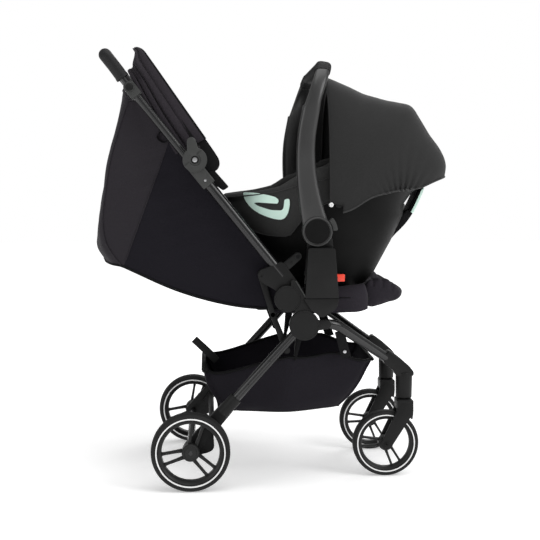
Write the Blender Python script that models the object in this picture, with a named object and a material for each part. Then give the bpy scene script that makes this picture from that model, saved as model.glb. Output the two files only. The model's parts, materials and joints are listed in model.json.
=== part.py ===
# Compact travel pushchair with an infant carrier clipped on its side adapters.
# Metres, +Z up, +X is the way the pushchair rolls forward, +Y is its left side.
# Side-view places are measured ahead of the rear axle (x) and above the floor (z);
# one empty carries every piece and centres the whole on the origin.

from math import atan2, cos, hypot, pi, radians, sin

import bmesh
import bpy
from mathutils import Matrix, Vector

for old in list(bpy.data.objects):
    bpy.data.objects.remove(old, do_unlink=True)

# Overall places
SEAT_BACK_X = -0.2190         # rearmost point, the back of the seat bag
CANOPY_END_X = 0.6014         # foremost point, the head end of the carrier canopy
CENTRE_X = (SEAT_BACK_X + CANOPY_END_X) / 2

# Gaps
SEAT = 0.0003                 # between pieces that touch
RUN = 0.0008                  # between pieces that turn or slide on each other

# Wheels
REAR_WHEEL_R = 0.0875
FRONT_WHEEL_R = 0.0765
REAR_TYRE_W = 0.035
FRONT_TYRE_W = 0.028
TYRE_DEPTH = 0.0135
RIM_DEPTH = 0.010
REAR_WHEEL_Y = 0.2345
AXLE_R = 0.005

# Front castors
CASTOR_X = 0.4915
CASTOR_Y = 0.126
CASTOR_TRAIL = 0.042
STEM_R = 0.0195
STEM_BOTTOM_Z = 0.181
STEM_TOP_Z = 0.243

# Side layers, from inside to outside
PANEL_Y = 0.1970              # outer face of the fabric side panels
LINK_Y = 0.2025               # middle of the link bars
LINK_W = 0.0065
LINK_PIN_R = 0.0035
TUBE_Y = 0.2185               # middle of the tubes
LUG_W = 0.0225                # width of the lugs in the tube layer
CASTING_Y = 0.2325            # inner face of the outer castings
CASTING_W = 0.0120

# Pivots in the side view
FOLD_PIVOT = (0.2130, 0.4250)
LEG_PIVOT = (0.2500, 0.3670)
LINK_TOP = (0.1570, 0.4740)
LINK_BOTTOM = (0.2140, 0.3060)
HOOD_PIVOT = (0.0130, 0.7270)
HANDLE_PIVOT = (-0.1260, 0.8820)
BACK_PIVOT = (0.1550, 0.4120)
LEG_REST_PIVOT = (0.4020, 0.4130)
BRAKE_PIVOT = (0.0470, 0.1290)
BUMPER_HOLE = (0.2370, 0.5170)
FOLD_DISC_R = 0.029
LEG_DISC_R = 0.033

# Tubes
MAIN_TUBE_R = 0.0115
UPPER_TUBE_R = 0.0092
LEG_TUBE_R = 0.0105
FRONT_LEG_LOW = ((0.4250, 0.2925), 0.144)
FRONT_LEG_END = (0.4595, 0.2680)
FRONT_LEG_R = 0.0110
SHAFT_R = 0.008
PIN_R = 0.006
TUBE_FOOT = (0.2040, 0.4740)
TUBE_LENGTH = 0.2950
HOOD_MOUNT_HALF_W = 0.0150
TELESCOPE_OVERLAP = 0.085
TELESCOPE_TRAVEL = 0.150

# Seat
SEAT_HALF_W = 0.183
SEAT_Z = 0.3960
BOARD_T = 0.008
SEAT_PAD_T = 0.022
BACK_LENGTH = 0.372
BACK_ANGLE = radians(159.5)
LEG_REST_HALF_W = 0.118

# Infant carrier
HUB = (0.2790, 0.5720)
HUB_R = 0.0335
HANDLE_REACH = 0.372
CARRY_ARM_Y = 0.2225
CARRY_ARM_T = 0.019
CANOPY_PIVOT = (0.3300, 0.6300)
CANOPY_HALF_W = 0.2035
CANOPY_BOW_R = 0.0032
CANOPY_BOSS_R = 0.0065
CANOPY_EYE_Y = CANOPY_HALF_W - 0.0068 - CANOPY_BOW_R
CARRIER_WALL = 0.005
LINER_T = 0.012
COVER_SKIRT = 0.0045
COVER_HEM = 0.12
GUIDE_T = 0.0045
CONNECTOR_BOTTOM_Z = 0.4255
ADAPTER_POST_H = 0.070

SIDES = ((-1, "right"), (1, "left"))

carrier_of_all = bpy.data.objects.new("pushchair", None)
carrier_of_all.location = (-CENTRE_X, 0, 0)
bpy.context.collection.objects.link(carrier_of_all)


# Materials

def make_material(name, colour, roughness, metallic=0.0):
    made = bpy.data.materials.new(name)
    made.use_nodes = True
    shader = made.node_tree.nodes["Principled BSDF"]
    shader.inputs["Base Color"].default_value = (*colour, 1)
    shader.inputs["Roughness"].default_value = roughness
    shader.inputs["Metallic"].default_value = metallic
    return made


PAINT = make_material("black_paint", (0.012, 0.012, 0.013), 0.28, 0.6)
PLASTIC = make_material("dark_plastic", (0.022, 0.022, 0.023), 0.50)
GREY_PLASTIC = make_material("grey_plastic", (0.045, 0.046, 0.047), 0.46)
RUBBER = make_material("black_rubber", (0.010, 0.010, 0.010), 0.75)
FOAM = make_material("grip_foam", (0.016, 0.016, 0.017), 0.85)
FABRIC = make_material("black_fabric", (0.013, 0.012, 0.015), 0.92)
PANEL_FABRIC = make_material("panel_fabric", (0.024, 0.021, 0.024), 0.90)
CANOPY_FABRIC = make_material("canopy_fabric", (0.026, 0.026, 0.026), 0.92)
RED = make_material("red_plastic", (0.80, 0.070, 0.030), 0.40)
MINT = make_material("mint_plastic", (0.43, 0.63, 0.53), 0.45)


# Shape tools

def place(name, shape, material, pivot=(0, 0, 0), smooth=35):
    """Give a bmesh drawn in whole-object places its own object, with its origin at pivot."""
    bmesh.ops.remove_doubles(shape, verts=shape.verts, dist=1e-6)
    bmesh.ops.recalc_face_normals(shape, faces=shape.faces)
    bmesh.ops.translate(shape, verts=shape.verts, vec=-Vector(pivot))
    mesh = bpy.data.meshes.new(name)
    shape.to_mesh(mesh)
    shape.free()
    mesh.materials.append(material)
    mesh.shade_smooth()
    mesh.set_sharp_from_angle(angle=radians(smooth))
    made = bpy.data.objects.new(name, mesh)
    made.location = pivot
    made.parent = carrier_of_all
    bpy.context.collection.objects.link(made)
    return made


def combine(first, second, operation):
    """Boolean two bmeshes and return the result as a new bmesh."""
    objects = []
    for shape in (first, second):
        bmesh.ops.recalc_face_normals(shape, faces=shape.faces)
        mesh = bpy.data.meshes.new("boolean")
        shape.to_mesh(mesh)
        shape.free()
        made = bpy.data.objects.new("boolean", mesh)
        bpy.context.collection.objects.link(made)
        objects.append(made)
    step = objects[0].modifiers.new("boolean", "BOOLEAN")
    step.operation = operation
    step.object = objects[1]
    step.solver = "EXACT"
    graph = bpy.context.evaluated_depsgraph_get()
    result = bmesh.new()
    result.from_mesh(objects[0].evaluated_get(graph).to_mesh())
    for made in objects:
        mesh = made.data
        bpy.data.objects.remove(made, do_unlink=True)
        bpy.data.meshes.remove(mesh)
    return result


def join(*shapes):
    whole = shapes[0]
    for shape in shapes[1:]:
        whole = combine(whole, shape, "UNION")
    return whole


def cut(whole, *tools):
    for tool in tools:
        whole = combine(whole, tool, "DIFFERENCE")
    return whole


def loft(rings, closed=False):
    """Skin rings of equal point counts; open runs get flat ends."""
    shape = bmesh.new()
    rows = [[shape.verts.new(point) for point in ring] for ring in rings]
    count = len(rows[0])
    spans = list(zip(rows, rows[1:]))
    if closed:
        spans.append((rows[-1], rows[0]))
    for low, high in spans:
        for i in range(count):
            j = (i + 1) % count
            shape.faces.new((low[i], low[j], high[j], high[i]))
    if not closed:
        shape.faces.new(list(reversed(rows[0])))
        shape.faces.new(rows[-1])
    return shape


def circle_points(centre, radius, start=0.0, stop=2 * pi, steps=24, ends=False):
    last = steps + 1 if ends else steps
    turn = [start + (stop - start) * i / steps for i in range(last)]
    return [(centre[0] + radius * cos(a), centre[1] + radius * sin(a)) for a in turn]


def rounded(points, radius, steps=2):
    """Round each corner of a side-view outline; radius is one value or one a corner."""
    outline = []
    count = len(points)
    for i, corner in enumerate(points):
        size = radius[i] if isinstance(radius, (list, tuple)) else radius
        here = Vector(corner)
        before = (Vector(points[i - 1]) - here)
        after = (Vector(points[(i + 1) % count]) - here)
        half = before.angle(after) / 2
        back = min(size / max(sin(half) / cos(half), 1e-6), before.length * 0.45, after.length * 0.45)
        start = here + before.normalized() * back
        end = here + after.normalized() * back
        if size <= 0 or back < 1e-5:
            outline.append(tuple(here))
            continue
        for k in range(steps + 1):
            t = k / steps
            outline.append(tuple((1 - t) ** 2 * start + 2 * t * (1 - t) * here + t ** 2 * end))
    return outline


def plate(outline, y_a, y_b, edge=0.0):
    """Side-view outline made solid between two Y faces, with an optional edge bevel."""
    low, high = min(y_a, y_b), max(y_a, y_b)
    shape = loft([[(x, low, z) for x, z in outline], [(x, high, z) for x, z in outline]])
    if edge:
        rim = [e for e in shape.edges if abs(e.verts[0].co.y - e.verts[1].co.y) < 1e-9]
        bmesh.ops.bevel(shape, geom=rim, offset=edge, segments=1, affect="EDGES")
    return shape


def disc(centre, radius, y_a, y_b, steps=18, edge=0.0):
    return plate(circle_points(centre, radius, steps=steps), y_a, y_b, edge)


def hull_outline(circles, steps=6):
    """Outline of the belt round two circles given as (x, z, radius)."""
    (xa, za, ra), (xb, zb, rb) = circles
    way = atan2(zb - za, xb - xa)
    lean = pi / 2 - (rb - ra) / max(hypot(xb - xa, zb - za), 1e-6)
    far = circle_points((xb, zb), rb, way - lean, way + lean, steps, True)
    near = circle_points((xa, za), ra, way + lean, way + 2 * pi - lean, steps, True)
    return far + near


def box(x, y, z):
    shape = bmesh.new()
    bmesh.ops.create_cube(shape, size=1)
    size = Vector((x[1] - x[0], y[1] - y[0], z[1] - z[0]))
    middle = Vector(((x[0] + x[1]) / 2, (y[0] + y[1]) / 2, (z[0] + z[1]) / 2))
    bmesh.ops.transform(shape, matrix=Matrix.Translation(middle) @ Matrix.Diagonal((*size, 1)), verts=shape.verts)
    return shape


def turned(profile, centre, steps=24):
    """Turn a closed (radius, y) profile about a Y axis; flats lie at the radius, one of them lowest."""
    rings = []
    for i in range(steps):
        a = 2 * pi * (i + 0.5) / steps
        grow = 1 / cos(pi / steps)
        rings.append([(centre[0] + r * grow * cos(a), y, centre[1] + r * grow * sin(a)) for r, y in profile])
    return loft(rings, closed=True)


def pipe(path, radius, sides=10, bore=0.0):
    """Round pipe along a list of points; a bore makes it hollow."""
    points = [Vector(p) for p in path]
    rings, inner = [], []
    for i, point in enumerate(points):
        before = (point - points[i - 1]).normalized() if i else None
        after = (points[i + 1] - point).normalized() if i + 1 < len(points) else None
        way = ((before or after) + (after or before)).normalized()
        stretch = 1 / max(way.dot(after or before), 0.5)
        side = Vector((0, 1, 0)).cross(way)
        if side.length < 0.2:
            side = Vector((0, 0, 1)).cross(way) if rings == [] else side
        if rings:
            side = last_side - way * last_side.dot(way)
        side.normalize()
        last_side = side
        other = way.cross(side)
        bend = (after - before) if before is not None and after is not None else Vector((0, 0, 0))
        for size, row in ((radius, rings), (bore, inner)):
            ring = []
            for k in range(sides):
                a = 2 * pi * k / sides
                arm = side * cos(a) * size + other * sin(a) * size
                if bend.length > 1e-6:
                    out = bend.normalized()
                    arm += out * arm.dot(out) * (stretch - 1)
                ring.append(point + arm)
            row.append(ring)
    if bore:
        return loft(rings + list(reversed(inner)), closed=True)
    return loft(rings)


def rounded_path(points, radius, steps=5):
    """Straight runs joined by round bends."""
    path = [Vector(points[0])]
    for before, here, after in zip(points, points[1:], points[2:]):
        here = Vector(here)
        to_before = Vector(before) - here
        to_after = Vector(after) - here
        back = min(radius, to_before.length * 0.48, to_after.length * 0.48)
        start = here + to_before.normalized() * back
        end = here + to_after.normalized() * back
        for k in range(steps + 1):
            t = k / steps
            path.append((1 - t) ** 2 * start + 2 * t * (1 - t) * here + t ** 2 * end)
    path.append(Vector(points[-1]))
    return path


def at(place_xz, y):
    return (place_xz[0], y, place_xz[1])


# Shared directions

# the handle frame leans back along this line, seen from the side
TUBE_WAY = Vector((-0.628, 0.0, 0.778)).normalized()
TUBE_SIDE = Vector((TUBE_WAY.z, 0.0, -TUBE_WAY.x))


def on_tube(distance, y=TUBE_Y, off=0.0):
    """Point on the handle tube line, distance above its foot and off to its front."""
    point = Vector((TUBE_FOOT[0], y, TUBE_FOOT[1])) + TUBE_WAY * distance + TUBE_SIDE * off
    return point


def tube_outline(start, stop, half_front, half_back):
    """Rectangle in the side view along the handle tube."""
    corners = ((start, half_front), (stop, half_front), (stop, -half_back), (start, -half_back))
    return [(on_tube(a, 0, b).x, on_tube(a, 0, b).z) for a, b in corners]


COLLAR_AT = (Vector(at(HANDLE_PIVOT, 0)) - Vector(at(TUBE_FOOT, 0))).dot(TUBE_WAY)


# Side frame: outer casting with both pivot discs, the rail and the boss of the front leg

def side_frame(sign, tag):
    inner = sign * CASTING_Y
    outer = sign * (CASTING_Y + CASTING_W)
    disc_face = outer + sign * 0.0025
    rail = [(0.2230, 0.4640), (0.2640, 0.4000), (0.2640, 0.3750), (0.2400, 0.3800), (0.2180, 0.4150)]
    arm = hull_outline(((LEG_PIVOT[0] + 0.014, LEG_PIVOT[1] - 0.002, 0.012), (0.3060, 0.3680, 0.0105)))
    shape = plate(rounded(rail, 0.003), inner, outer)
    shape = join(shape, disc(FOLD_PIVOT, FOLD_DISC_R, inner, outer, 20))
    shape = join(shape, disc(LEG_PIVOT, LEG_DISC_R, inner, disc_face, 20))
    shape = join(shape, plate(arm, inner, outer - sign * 0.002))
    shape = join(shape, disc((0.3060, 0.3680), 0.0085, sign * (TUBE_Y + 0.004), inner + sign * 0.004, 10))
    shape = cut(shape, pipe(front_leg_path(sign), FRONT_LEG_R + SEAT))
    pin_end = sign * (TUBE_Y - LUG_W / 2)
    shape = join(shape, disc(FOLD_PIVOT, PIN_R, pin_end, inner + sign * 0.004, 10))
    place(f"side_frame_{tag}", shape, PLASTIC)


def main_cross_shaft():
    reach = CASTING_Y - SEAT
    shape = disc(LEG_PIVOT, SHAFT_R, -reach, reach, 16)
    place("main_cross_shaft", shape, PAINT)


def front_leg_path(sign):
    start = (0.2900, sign * TUBE_Y, 0.3680)
    turn = (0.3240, sign * 0.2130, 0.3640)
    low = at(FRONT_LEG_LOW[0], sign * FRONT_LEG_LOW[1])
    end = at(FRONT_LEG_END, sign * CASTOR_Y)
    return rounded_path([start, turn, low, end], 0.022, 4)


def front_leg(sign, tag):
    shape = join(pipe(front_leg_path(sign), FRONT_LEG_R), front_knuckle(sign))
    hole = upright((CASTOR_X, sign * CASTOR_Y), PIN_R + RUN, STEM_BOTTOM_Z - 0.02, STEM_BOTTOM_Z + 0.040, 10)
    place(f"front_leg_{tag}", cut(shape, hole), PAINT)


def front_knuckle_outline():
    top = [(0.4480, 0.2880), (0.4560, 0.2940), (0.4780, 0.2770), (0.5020, 0.2560), (0.5120, 0.2430)]
    back = [(0.5120, 0.2330), (0.4720, 0.2330), (0.4640, 0.2480), (0.4430, 0.2640)]
    return rounded(top + back, 0.003, 1)


def front_knuckle(sign):
    """Castor housing: a swept top plate, the leg socket and the upright barrel."""
    y = sign * CASTOR_Y
    shape = plate(front_knuckle_outline(), y - 0.0165, y + 0.0165)
    return join(shape, upright((CASTOR_X, y), STEM_R, STEM_BOTTOM_Z + RUN, STEM_TOP_Z, 16))


def upright(centre, radius, z_low, z_high, steps):
    """Round bar standing on the XY plane at centre."""
    ring = circle_points(centre, radius, steps=steps)
    return loft([[(x, y, z) for x, y in ring] for z in (z_low, z_high)])


def castor_fork(sign, tag):
    """Swivelling fork: round shoulder, two side arms and the stem pin."""
    y = sign * CASTOR_Y
    hub = (CASTOR_X - CASTOR_TRAIL, FRONT_WHEEL_R)
    arm_in = FRONT_TYRE_W / 2 + 0.0025
    arm_out = arm_in + 0.0065
    outline = hull_outline(((hub[0], hub[1], 0.0125), (CASTOR_X + 0.002, STEM_BOTTOM_Z - 0.024, 0.0165)))
    shape = plate(outline, y - arm_out, y + arm_out)
    shape = join(shape, upright((CASTOR_X, y), STEM_R, STEM_BOTTOM_Z - 0.0225, STEM_BOTTOM_Z, 16))
    shape = cut(shape, disc(hub, FRONT_WHEEL_R + 0.004, y - arm_in, y + arm_in, 24))
    shape = join(shape, upright((CASTOR_X, y), PIN_R, STEM_BOTTOM_Z - 0.007, STEM_BOTTOM_Z + 0.035, 10))
    shape = join(shape, disc(hub, AXLE_R, y - arm_out - 0.002, y + arm_out + 0.002, 10))
    place(f"castor_fork_{tag}", shape, PLASTIC, (CASTOR_X, y, STEM_BOTTOM_Z))


# Wheels

def tyre(name, centre, y, radius, width):
    half = width / 2
    inner = radius - TYRE_DEPTH
    profile = [(inner, y - half * 0.75), (radius - TYRE_DEPTH * 0.45, y - half), (radius, y - half * 0.45),
               (radius, y + half * 0.45), (radius - TYRE_DEPTH * 0.45, y + half), (inner, y + half * 0.75)]
    place(name, turned(profile, centre), RUBBER, at(centre, y))


def rim(name, centre, y, radius, width, first_spoke, bore):
    outer = radius - TYRE_DEPTH - SEAT
    inner = outer - RIM_DEPTH
    half = width / 2 * 0.70
    shape = turned([(outer, y - half), (outer, y + half), (inner, y + half * 0.8), (inner, y - half * 0.8)], centre)
    spoke_half = width * 0.20
    for k in range(3):
        a = radians(first_spoke + 120 * k)
        along = Vector((cos(a), sin(a)))
        across = Vector((-sin(a), cos(a)))
        near, far = radius * 0.10, inner + RIM_DEPTH * 0.6
        corners = ((near, -0.17), (far, -0.12), (far, 0.12), (near, 0.17))
        blade = [tuple(Vector(centre) + along * r + across * radius * w) for r, w in corners]
        slot = ((radius * 0.31, -0.070), (inner - 0.004, -0.045), (inner - 0.004, 0.045), (radius * 0.31, 0.070))
        gap = [tuple(Vector(centre) + along * r + across * radius * w) for r, w in slot]
        spoke = plate(blade, y - spoke_half, y + spoke_half)
        spoke = cut(spoke, plate(rounded(gap, 0.0035, 1), y - width, y + width))
        shape = join(shape, spoke)
    hub_half = width / 2 * 0.92
    shape = join(shape, disc(centre, radius * 0.235, y - hub_half, y + hub_half, 16))
    shape = cut(shape, disc(centre, bore, y - width, y + width, 10))
    place(name, shape, PLASTIC, at(centre, y))


def wheels():
    rear = (0.0, REAR_WHEEL_R)
    front = (CASTOR_X - CASTOR_TRAIL, FRONT_WHEEL_R)
    for sign, tag in SIDES:
        y = sign * REAR_WHEEL_Y
        tyre(f"rear_tyre_{tag}", rear, y, REAR_WHEEL_R, REAR_TYRE_W)
        rim(f"rear_rim_{tag}", rear, y, REAR_WHEEL_R, REAR_TYRE_W, 75, AXLE_R + SEAT)
        y = sign * CASTOR_Y
        tyre(f"front_tyre_{tag}", front, y, FRONT_WHEEL_R, FRONT_TYRE_W)
        rim(f"front_rim_{tag}", front, y, FRONT_WHEEL_R, FRONT_TYRE_W, 57, AXLE_R + SEAT)


# Rear legs

LEG_FOOT = (0.0740, 0.1740)
LEG_WAY = (Vector(LEG_PIVOT) - Vector(LEG_FOOT)).normalized()
HOUSING_Y = REAR_WHEEL_Y - REAR_TYRE_W / 2 - 0.0035
HOUSING_W = 0.018


def rear_leg(sign, tag):
    y = sign * TUBE_Y
    foot = Vector(at(LEG_FOOT, y))
    eye_end = Vector(at(LEG_PIVOT, y)) - Vector((LEG_WAY.x, 0, LEG_WAY.y)) * 0.008
    shape = pipe([foot, eye_end], LEG_TUBE_R)
    shape = join(shape, disc(LEG_PIVOT, 0.0195, y - LUG_W / 2, y + LUG_W / 2, 16))
    shape = cut(shape, disc(LEG_PIVOT, SHAFT_R + SEAT, y - 0.05, y + 0.05, 16))
    rivet = disc(LINK_BOTTOM, 0.0045, y, y + sign * (LEG_TUBE_R + 0.0020), 10)
    shape = join(shape, rivet)
    place(f"rear_leg_{tag}", shape, PAINT, at(LEG_PIVOT, y))


def wheel_housing(sign, tag):
    """Casting at a leg's foot that holds the rear axle."""
    foot = Vector(at(LEG_FOOT, sign * TUBE_Y))
    way = Vector((LEG_WAY.x, 0, LEG_WAY.y))
    shape = pipe([foot - way * 0.006, foot + way * 0.040], LEG_TUBE_R + 0.0042, 10)
    arm = hull_outline(((0.0, REAR_WHEEL_R, 0.0175), (LEG_FOOT[0] + 0.010, LEG_FOOT[1] + 0.010, 0.0150)))
    shape = join(shape, plate(arm, sign * (HOUSING_Y - HOUSING_W), sign * HOUSING_Y, 0.002))
    shape = cut(shape, pipe([foot - way * SEAT, foot + way * 0.080], LEG_TUBE_R + SEAT, 10))
    shape = cut(shape, disc((0.0, REAR_WHEEL_R), AXLE_R + SEAT, sign * 0.10, sign * 0.30, 16))
    place(f"wheel_housing_{tag}", shape, PLASTIC)


def rear_axle():
    thick = HOUSING_Y - HOUSING_W - SEAT
    end = REAR_WHEEL_Y + REAR_TYRE_W / 2 * 0.92 + 0.0015
    profile = [(AXLE_R, -end), (AXLE_R, -thick), (0.0085, -thick), (0.0085, thick), (AXLE_R, thick), (AXLE_R, end)]
    rings = []
    for r, y in profile:
        ring = [(p[0], y, p[1]) for p in circle_points((0.0, REAR_WHEEL_R), r, steps=12)]
        rings.append(ring)
    place("rear_axle", loft(rings), PAINT)


def brake_pedal():
    """Cross bar between the housings with a foot plate behind the right wheel housing."""
    reach = HOUSING_Y - HOUSING_W - RUN
    shape = disc(BRAKE_PIVOT, 0.0065, -reach, reach, 12)
    foot = [(BRAKE_PIVOT[0] - 0.003, 0.1340), (BRAKE_PIVOT[0] - 0.048, 0.1420), (BRAKE_PIVOT[0] - 0.052, 0.1370),
            (BRAKE_PIVOT[0] - 0.003, 0.1255)]
    shape = join(shape, plate(rounded(foot, 0.003, 2), -0.165, -0.095, 0.001))
    for y in (-reach, reach - 0.010):
        cam = hull_outline(((*BRAKE_PIVOT, 0.0090), (BRAKE_PIVOT[0] - 0.014, BRAKE_PIVOT[1] - 0.014, 0.0060)), 4)
        shape = join(shape, plate(cam, y, y + 0.010))
    place("brake_pedal", shape, PLASTIC, at(BRAKE_PIVOT, 0))


# Link bars between the handle bracket and the rear leg

def link_bar(sign, tag):
    y = sign * LINK_Y
    top = Vector(LINK_TOP)
    low = Vector(LINK_BOTTOM)
    way = (low - top).normalized()
    side = Vector((-way.y, way.x))
    bow = 0.0035
    half = 0.0075
    outline = []
    for k in range(9):
        t = k / 8
        outline.append(top + (low - top) * t + side * (half - bow * sin(pi * t)))
    outline += [low + side * half * cos(a) + way * half * sin(a) for a in (pi / 4, pi / 2, 3 * pi / 4)]
    for k in range(9):
        t = 1 - k / 8
        outline.append(top + (low - top) * t - side * (half + bow * sin(pi * t)))
    outline += [top - side * half * cos(a) - way * half * sin(a) for a in (pi / 4, pi / 2, 3 * pi / 4)]
    shape = plate([tuple(p) for p in outline], y - LINK_W / 2, y + LINK_W / 2)
    shape = cut(shape, disc(LINK_TOP, LINK_PIN_R + SEAT, y - 0.02, y + 0.02, 14))
    shape = cut(shape, disc(LINK_BOTTOM, LINK_PIN_R + RUN, y - 0.02, y + 0.02, 14))
    place(f"link_bar_{tag}", shape, PLASTIC, at(LINK_TOP, y))


# Handle frame

def tube_bracket(sign, tag):
    """Casting on the foot of the main tube; it turns on the fold pivot and carries the link pin."""
    y = sign * TUBE_Y
    outline = [(0.2030, 0.5060), (0.2440, 0.4510), (0.2380, 0.4300), (0.2300, 0.4080), (0.2130, 0.4040),
               (0.1960, 0.4140), (0.1900, 0.4420), (0.1640, 0.4560), (0.1480, 0.4700), (0.1500, 0.4860)]
    shape = plate(rounded(outline, [0.006, 0.004, 0.004, 0.010, 0.012, 0.010, 0.012, 0.006, 0.008, 0.008]),
                  y - LUG_W / 2, y + LUG_W / 2)
    foot = on_tube(0, y)
    shape = cut(shape, pipe([foot - TUBE_WAY * SEAT, foot + TUBE_WAY * 0.08], MAIN_TUBE_R + SEAT, 12))
    shape = cut(shape, disc(FOLD_PIVOT, PIN_R + SEAT, y - 0.05, y + 0.05, 12))
    shape = join(shape, disc(LINK_TOP, LINK_PIN_R, y, sign * (LINK_Y - LINK_W / 2), 14))
    stub = hull_outline(((0.2120, 0.4960, 0.0100), (*BUMPER_HOLE, 0.0095)), 8)
    shape = join(shape, plate(stub, y - sign * 0.0065, y + sign * 0.0095))
    shape = cut(shape, pipe([foot - TUBE_WAY * SEAT, foot + TUBE_WAY * 0.08], MAIN_TUBE_R + SEAT, 12))
    shape = cut(shape, disc(BUMPER_HOLE, 0.0045, y - 0.02, y + 0.02, 14))
    place(f"tube_bracket_{tag}", shape, PLASTIC, at(FOLD_PIVOT, y))


def hood_mount(sign):
    """Sleeve round the top of the main tube with the hood's hinge boss."""
    y = sign * TUBE_Y
    outline = tube_outline(TUBE_LENGTH - 0.034, TUBE_LENGTH + 0.020, 0.0155, 0.0150)
    half = HOOD_MOUNT_HALF_W
    shape = plate(rounded(outline, 0.004, 2), y - half, y + half, 0.0015)
    neck = on_tube(TUBE_LENGTH - 0.010)
    lobe = hull_outline(((*HOOD_PIVOT, 0.0135), (neck.x, neck.z, 0.013)))
    shape = join(shape, plate(lobe, y + sign * 0.0040, y + sign * 0.0150))
    return join(shape, disc(HOOD_PIVOT, PIN_R, y + sign * 0.0120, y + sign * 0.0215, 12))


def main_tube(sign, tag):
    """Thick lower tube, bored for the telescoping tube, with the hood mount riveted on its top."""
    y = sign * TUBE_Y
    shape = join(pipe([on_tube(0, y), on_tube(TUBE_LENGTH, y)], MAIN_TUBE_R, 12), hood_mount(sign))
    depth = TELESCOPE_OVERLAP + TELESCOPE_TRAVEL + 0.010
    bore = pipe([on_tube(TUBE_LENGTH - depth, y), on_tube(TUBE_LENGTH + 0.05, y)], UPPER_TUBE_R + SEAT, 10)
    place(f"main_tube_{tag}", cut(shape, bore), PAINT, at(FOLD_PIVOT, y))


def upper_tube(sign, tag):
    y = sign * TUBE_Y
    low = TUBE_LENGTH - TELESCOPE_OVERLAP
    shape = pipe([on_tube(low, y), on_tube(COLLAR_AT - 0.016, y)], UPPER_TUBE_R, 10)
    place(f"upper_tube_{tag}", shape, PAINT)


def handle_collar(sign, tag):
    """Knuckle on the upper tube; a slot lets the handlebar lug turn in it."""
    y = sign * TUBE_Y
    outline = tube_outline(COLLAR_AT - 0.024, COLLAR_AT + 0.012, 0.0130, 0.0130)
    shape = plate(rounded(outline, [0.003, 0.010, 0.010, 0.003], 2), y - 0.0145, y + 0.0145, 0.0015)
    slot = tube_outline(COLLAR_AT - 0.0130, COLLAR_AT + 0.030, 0.030, 0.030)
    shape = cut(shape, plate(slot, y - 0.0080, y + 0.0080))
    tube_end = [on_tube(COLLAR_AT - 0.05, y), on_tube(COLLAR_AT - 0.0155, y)]
    shape = cut(shape, pipe(tube_end, UPPER_TUBE_R + SEAT, 10))
    shape = cut(shape, disc(HANDLE_PIVOT, 0.0078, y + sign * 0.0100, y + sign * 0.03, 14))
    shape = cut(shape, disc(HANDLE_PIVOT, 0.0040 + SEAT, y - sign * 0.0120, y + sign * 0.0118, 10))
    place(f"handle_collar_{tag}", shape, GREY_PLASTIC, at(HANDLE_PIVOT, y))


def handle_button(sign, tag):
    y = sign * TUBE_Y
    shape = disc(HANDLE_PIVOT, 0.0075, y + sign * 0.0133, y + sign * 0.0185, 14, 0.0008)
    place(f"handle_button_{tag}", shape, GREY_PLASTIC, at(HANDLE_PIVOT, y))


HANDLE_TOP = (-0.1790, 0.9525)
HANDLE_MID = (-0.1560, 0.9235)
GRIP_R = 0.0140
GRIP_BORE = 0.0088
HANDLE_TUBE_R = 0.0075


def handle_path(trim=0.0):
    """U-shaped line of the handlebar from the right knuckle to the left one."""
    start = Vector(at(HANDLE_PIVOT, -TUBE_Y)) + TUBE_WAY * 0.004
    points = [start, Vector(at(HANDLE_MID, -TUBE_Y)), Vector(at(HANDLE_TOP, -TUBE_Y)),
              Vector(at(HANDLE_TOP, TUBE_Y)), Vector(at(HANDLE_MID, TUBE_Y))]
    end = Vector((start.x, -start.y, start.z))
    path = rounded_path(points + [end], 0.050, 3)
    path[0] += (path[1] - path[0]).normalized() * trim
    path[-1] += (path[-2] - path[-1]).normalized() * trim
    return path


def handlebar():
    shape = pipe(handle_path(), HANDLE_TUBE_R, 8)
    for sign, _ in SIDES:
        y = sign * TUBE_Y
        shape = join(shape, disc(HANDLE_PIVOT, 0.0115, y - 0.0074, y + 0.0074, 14))
        shape = join(shape, disc(HANDLE_PIVOT, 0.0040, y - sign * 0.0110, y + sign * 0.0095, 10))
    place("handlebar", shape, PAINT, at(HANDLE_PIVOT, 0))


def handle_grip():
    shape = pipe(handle_path(0.022), GRIP_R, 9, GRIP_BORE)
    place("handle_grip", shape, FOAM, at(HANDLE_PIVOT, 0))


# Hood, folded back

HOOD_WAY = Vector((-0.4712, 0.0, 0.8820)).normalized()
HOOD_ACROSS = Vector((HOOD_WAY.z, 0.0, -HOOD_WAY.x))
HOOD_REACH = 0.2900
HOOD_HALF_W = 0.2010
HOOD_BOW_FOOT = (0.0200, 0.0200)


def hood_point(reach, y, off):
    """Point on the folded hood: reach up the hood line, off towards the front."""
    return Vector(at(HOOD_PIVOT, y)) + HOOD_WAY * reach + HOOD_ACROSS * off


def hood_arch(inset=0.0, steps=7):
    """Arch of the hood as (reach, y) from the right hinge over the top to the left."""
    top, half, corner = HOOD_REACH - inset, HOOD_HALF_W - inset, 0.085
    arch = [(r, -half) for r in (0.030, 0.110, top - corner)]
    for k in range(1, steps):
        a = pi / 2 * k / steps
        arch.append((top - corner + corner * sin(a), -half + corner - corner * cos(a)))
    arch += [(top, y) for y in (-half + corner, 0.0)]
    return arch + [(r, -y) for r, y in reversed(arch[:-1])]


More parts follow.
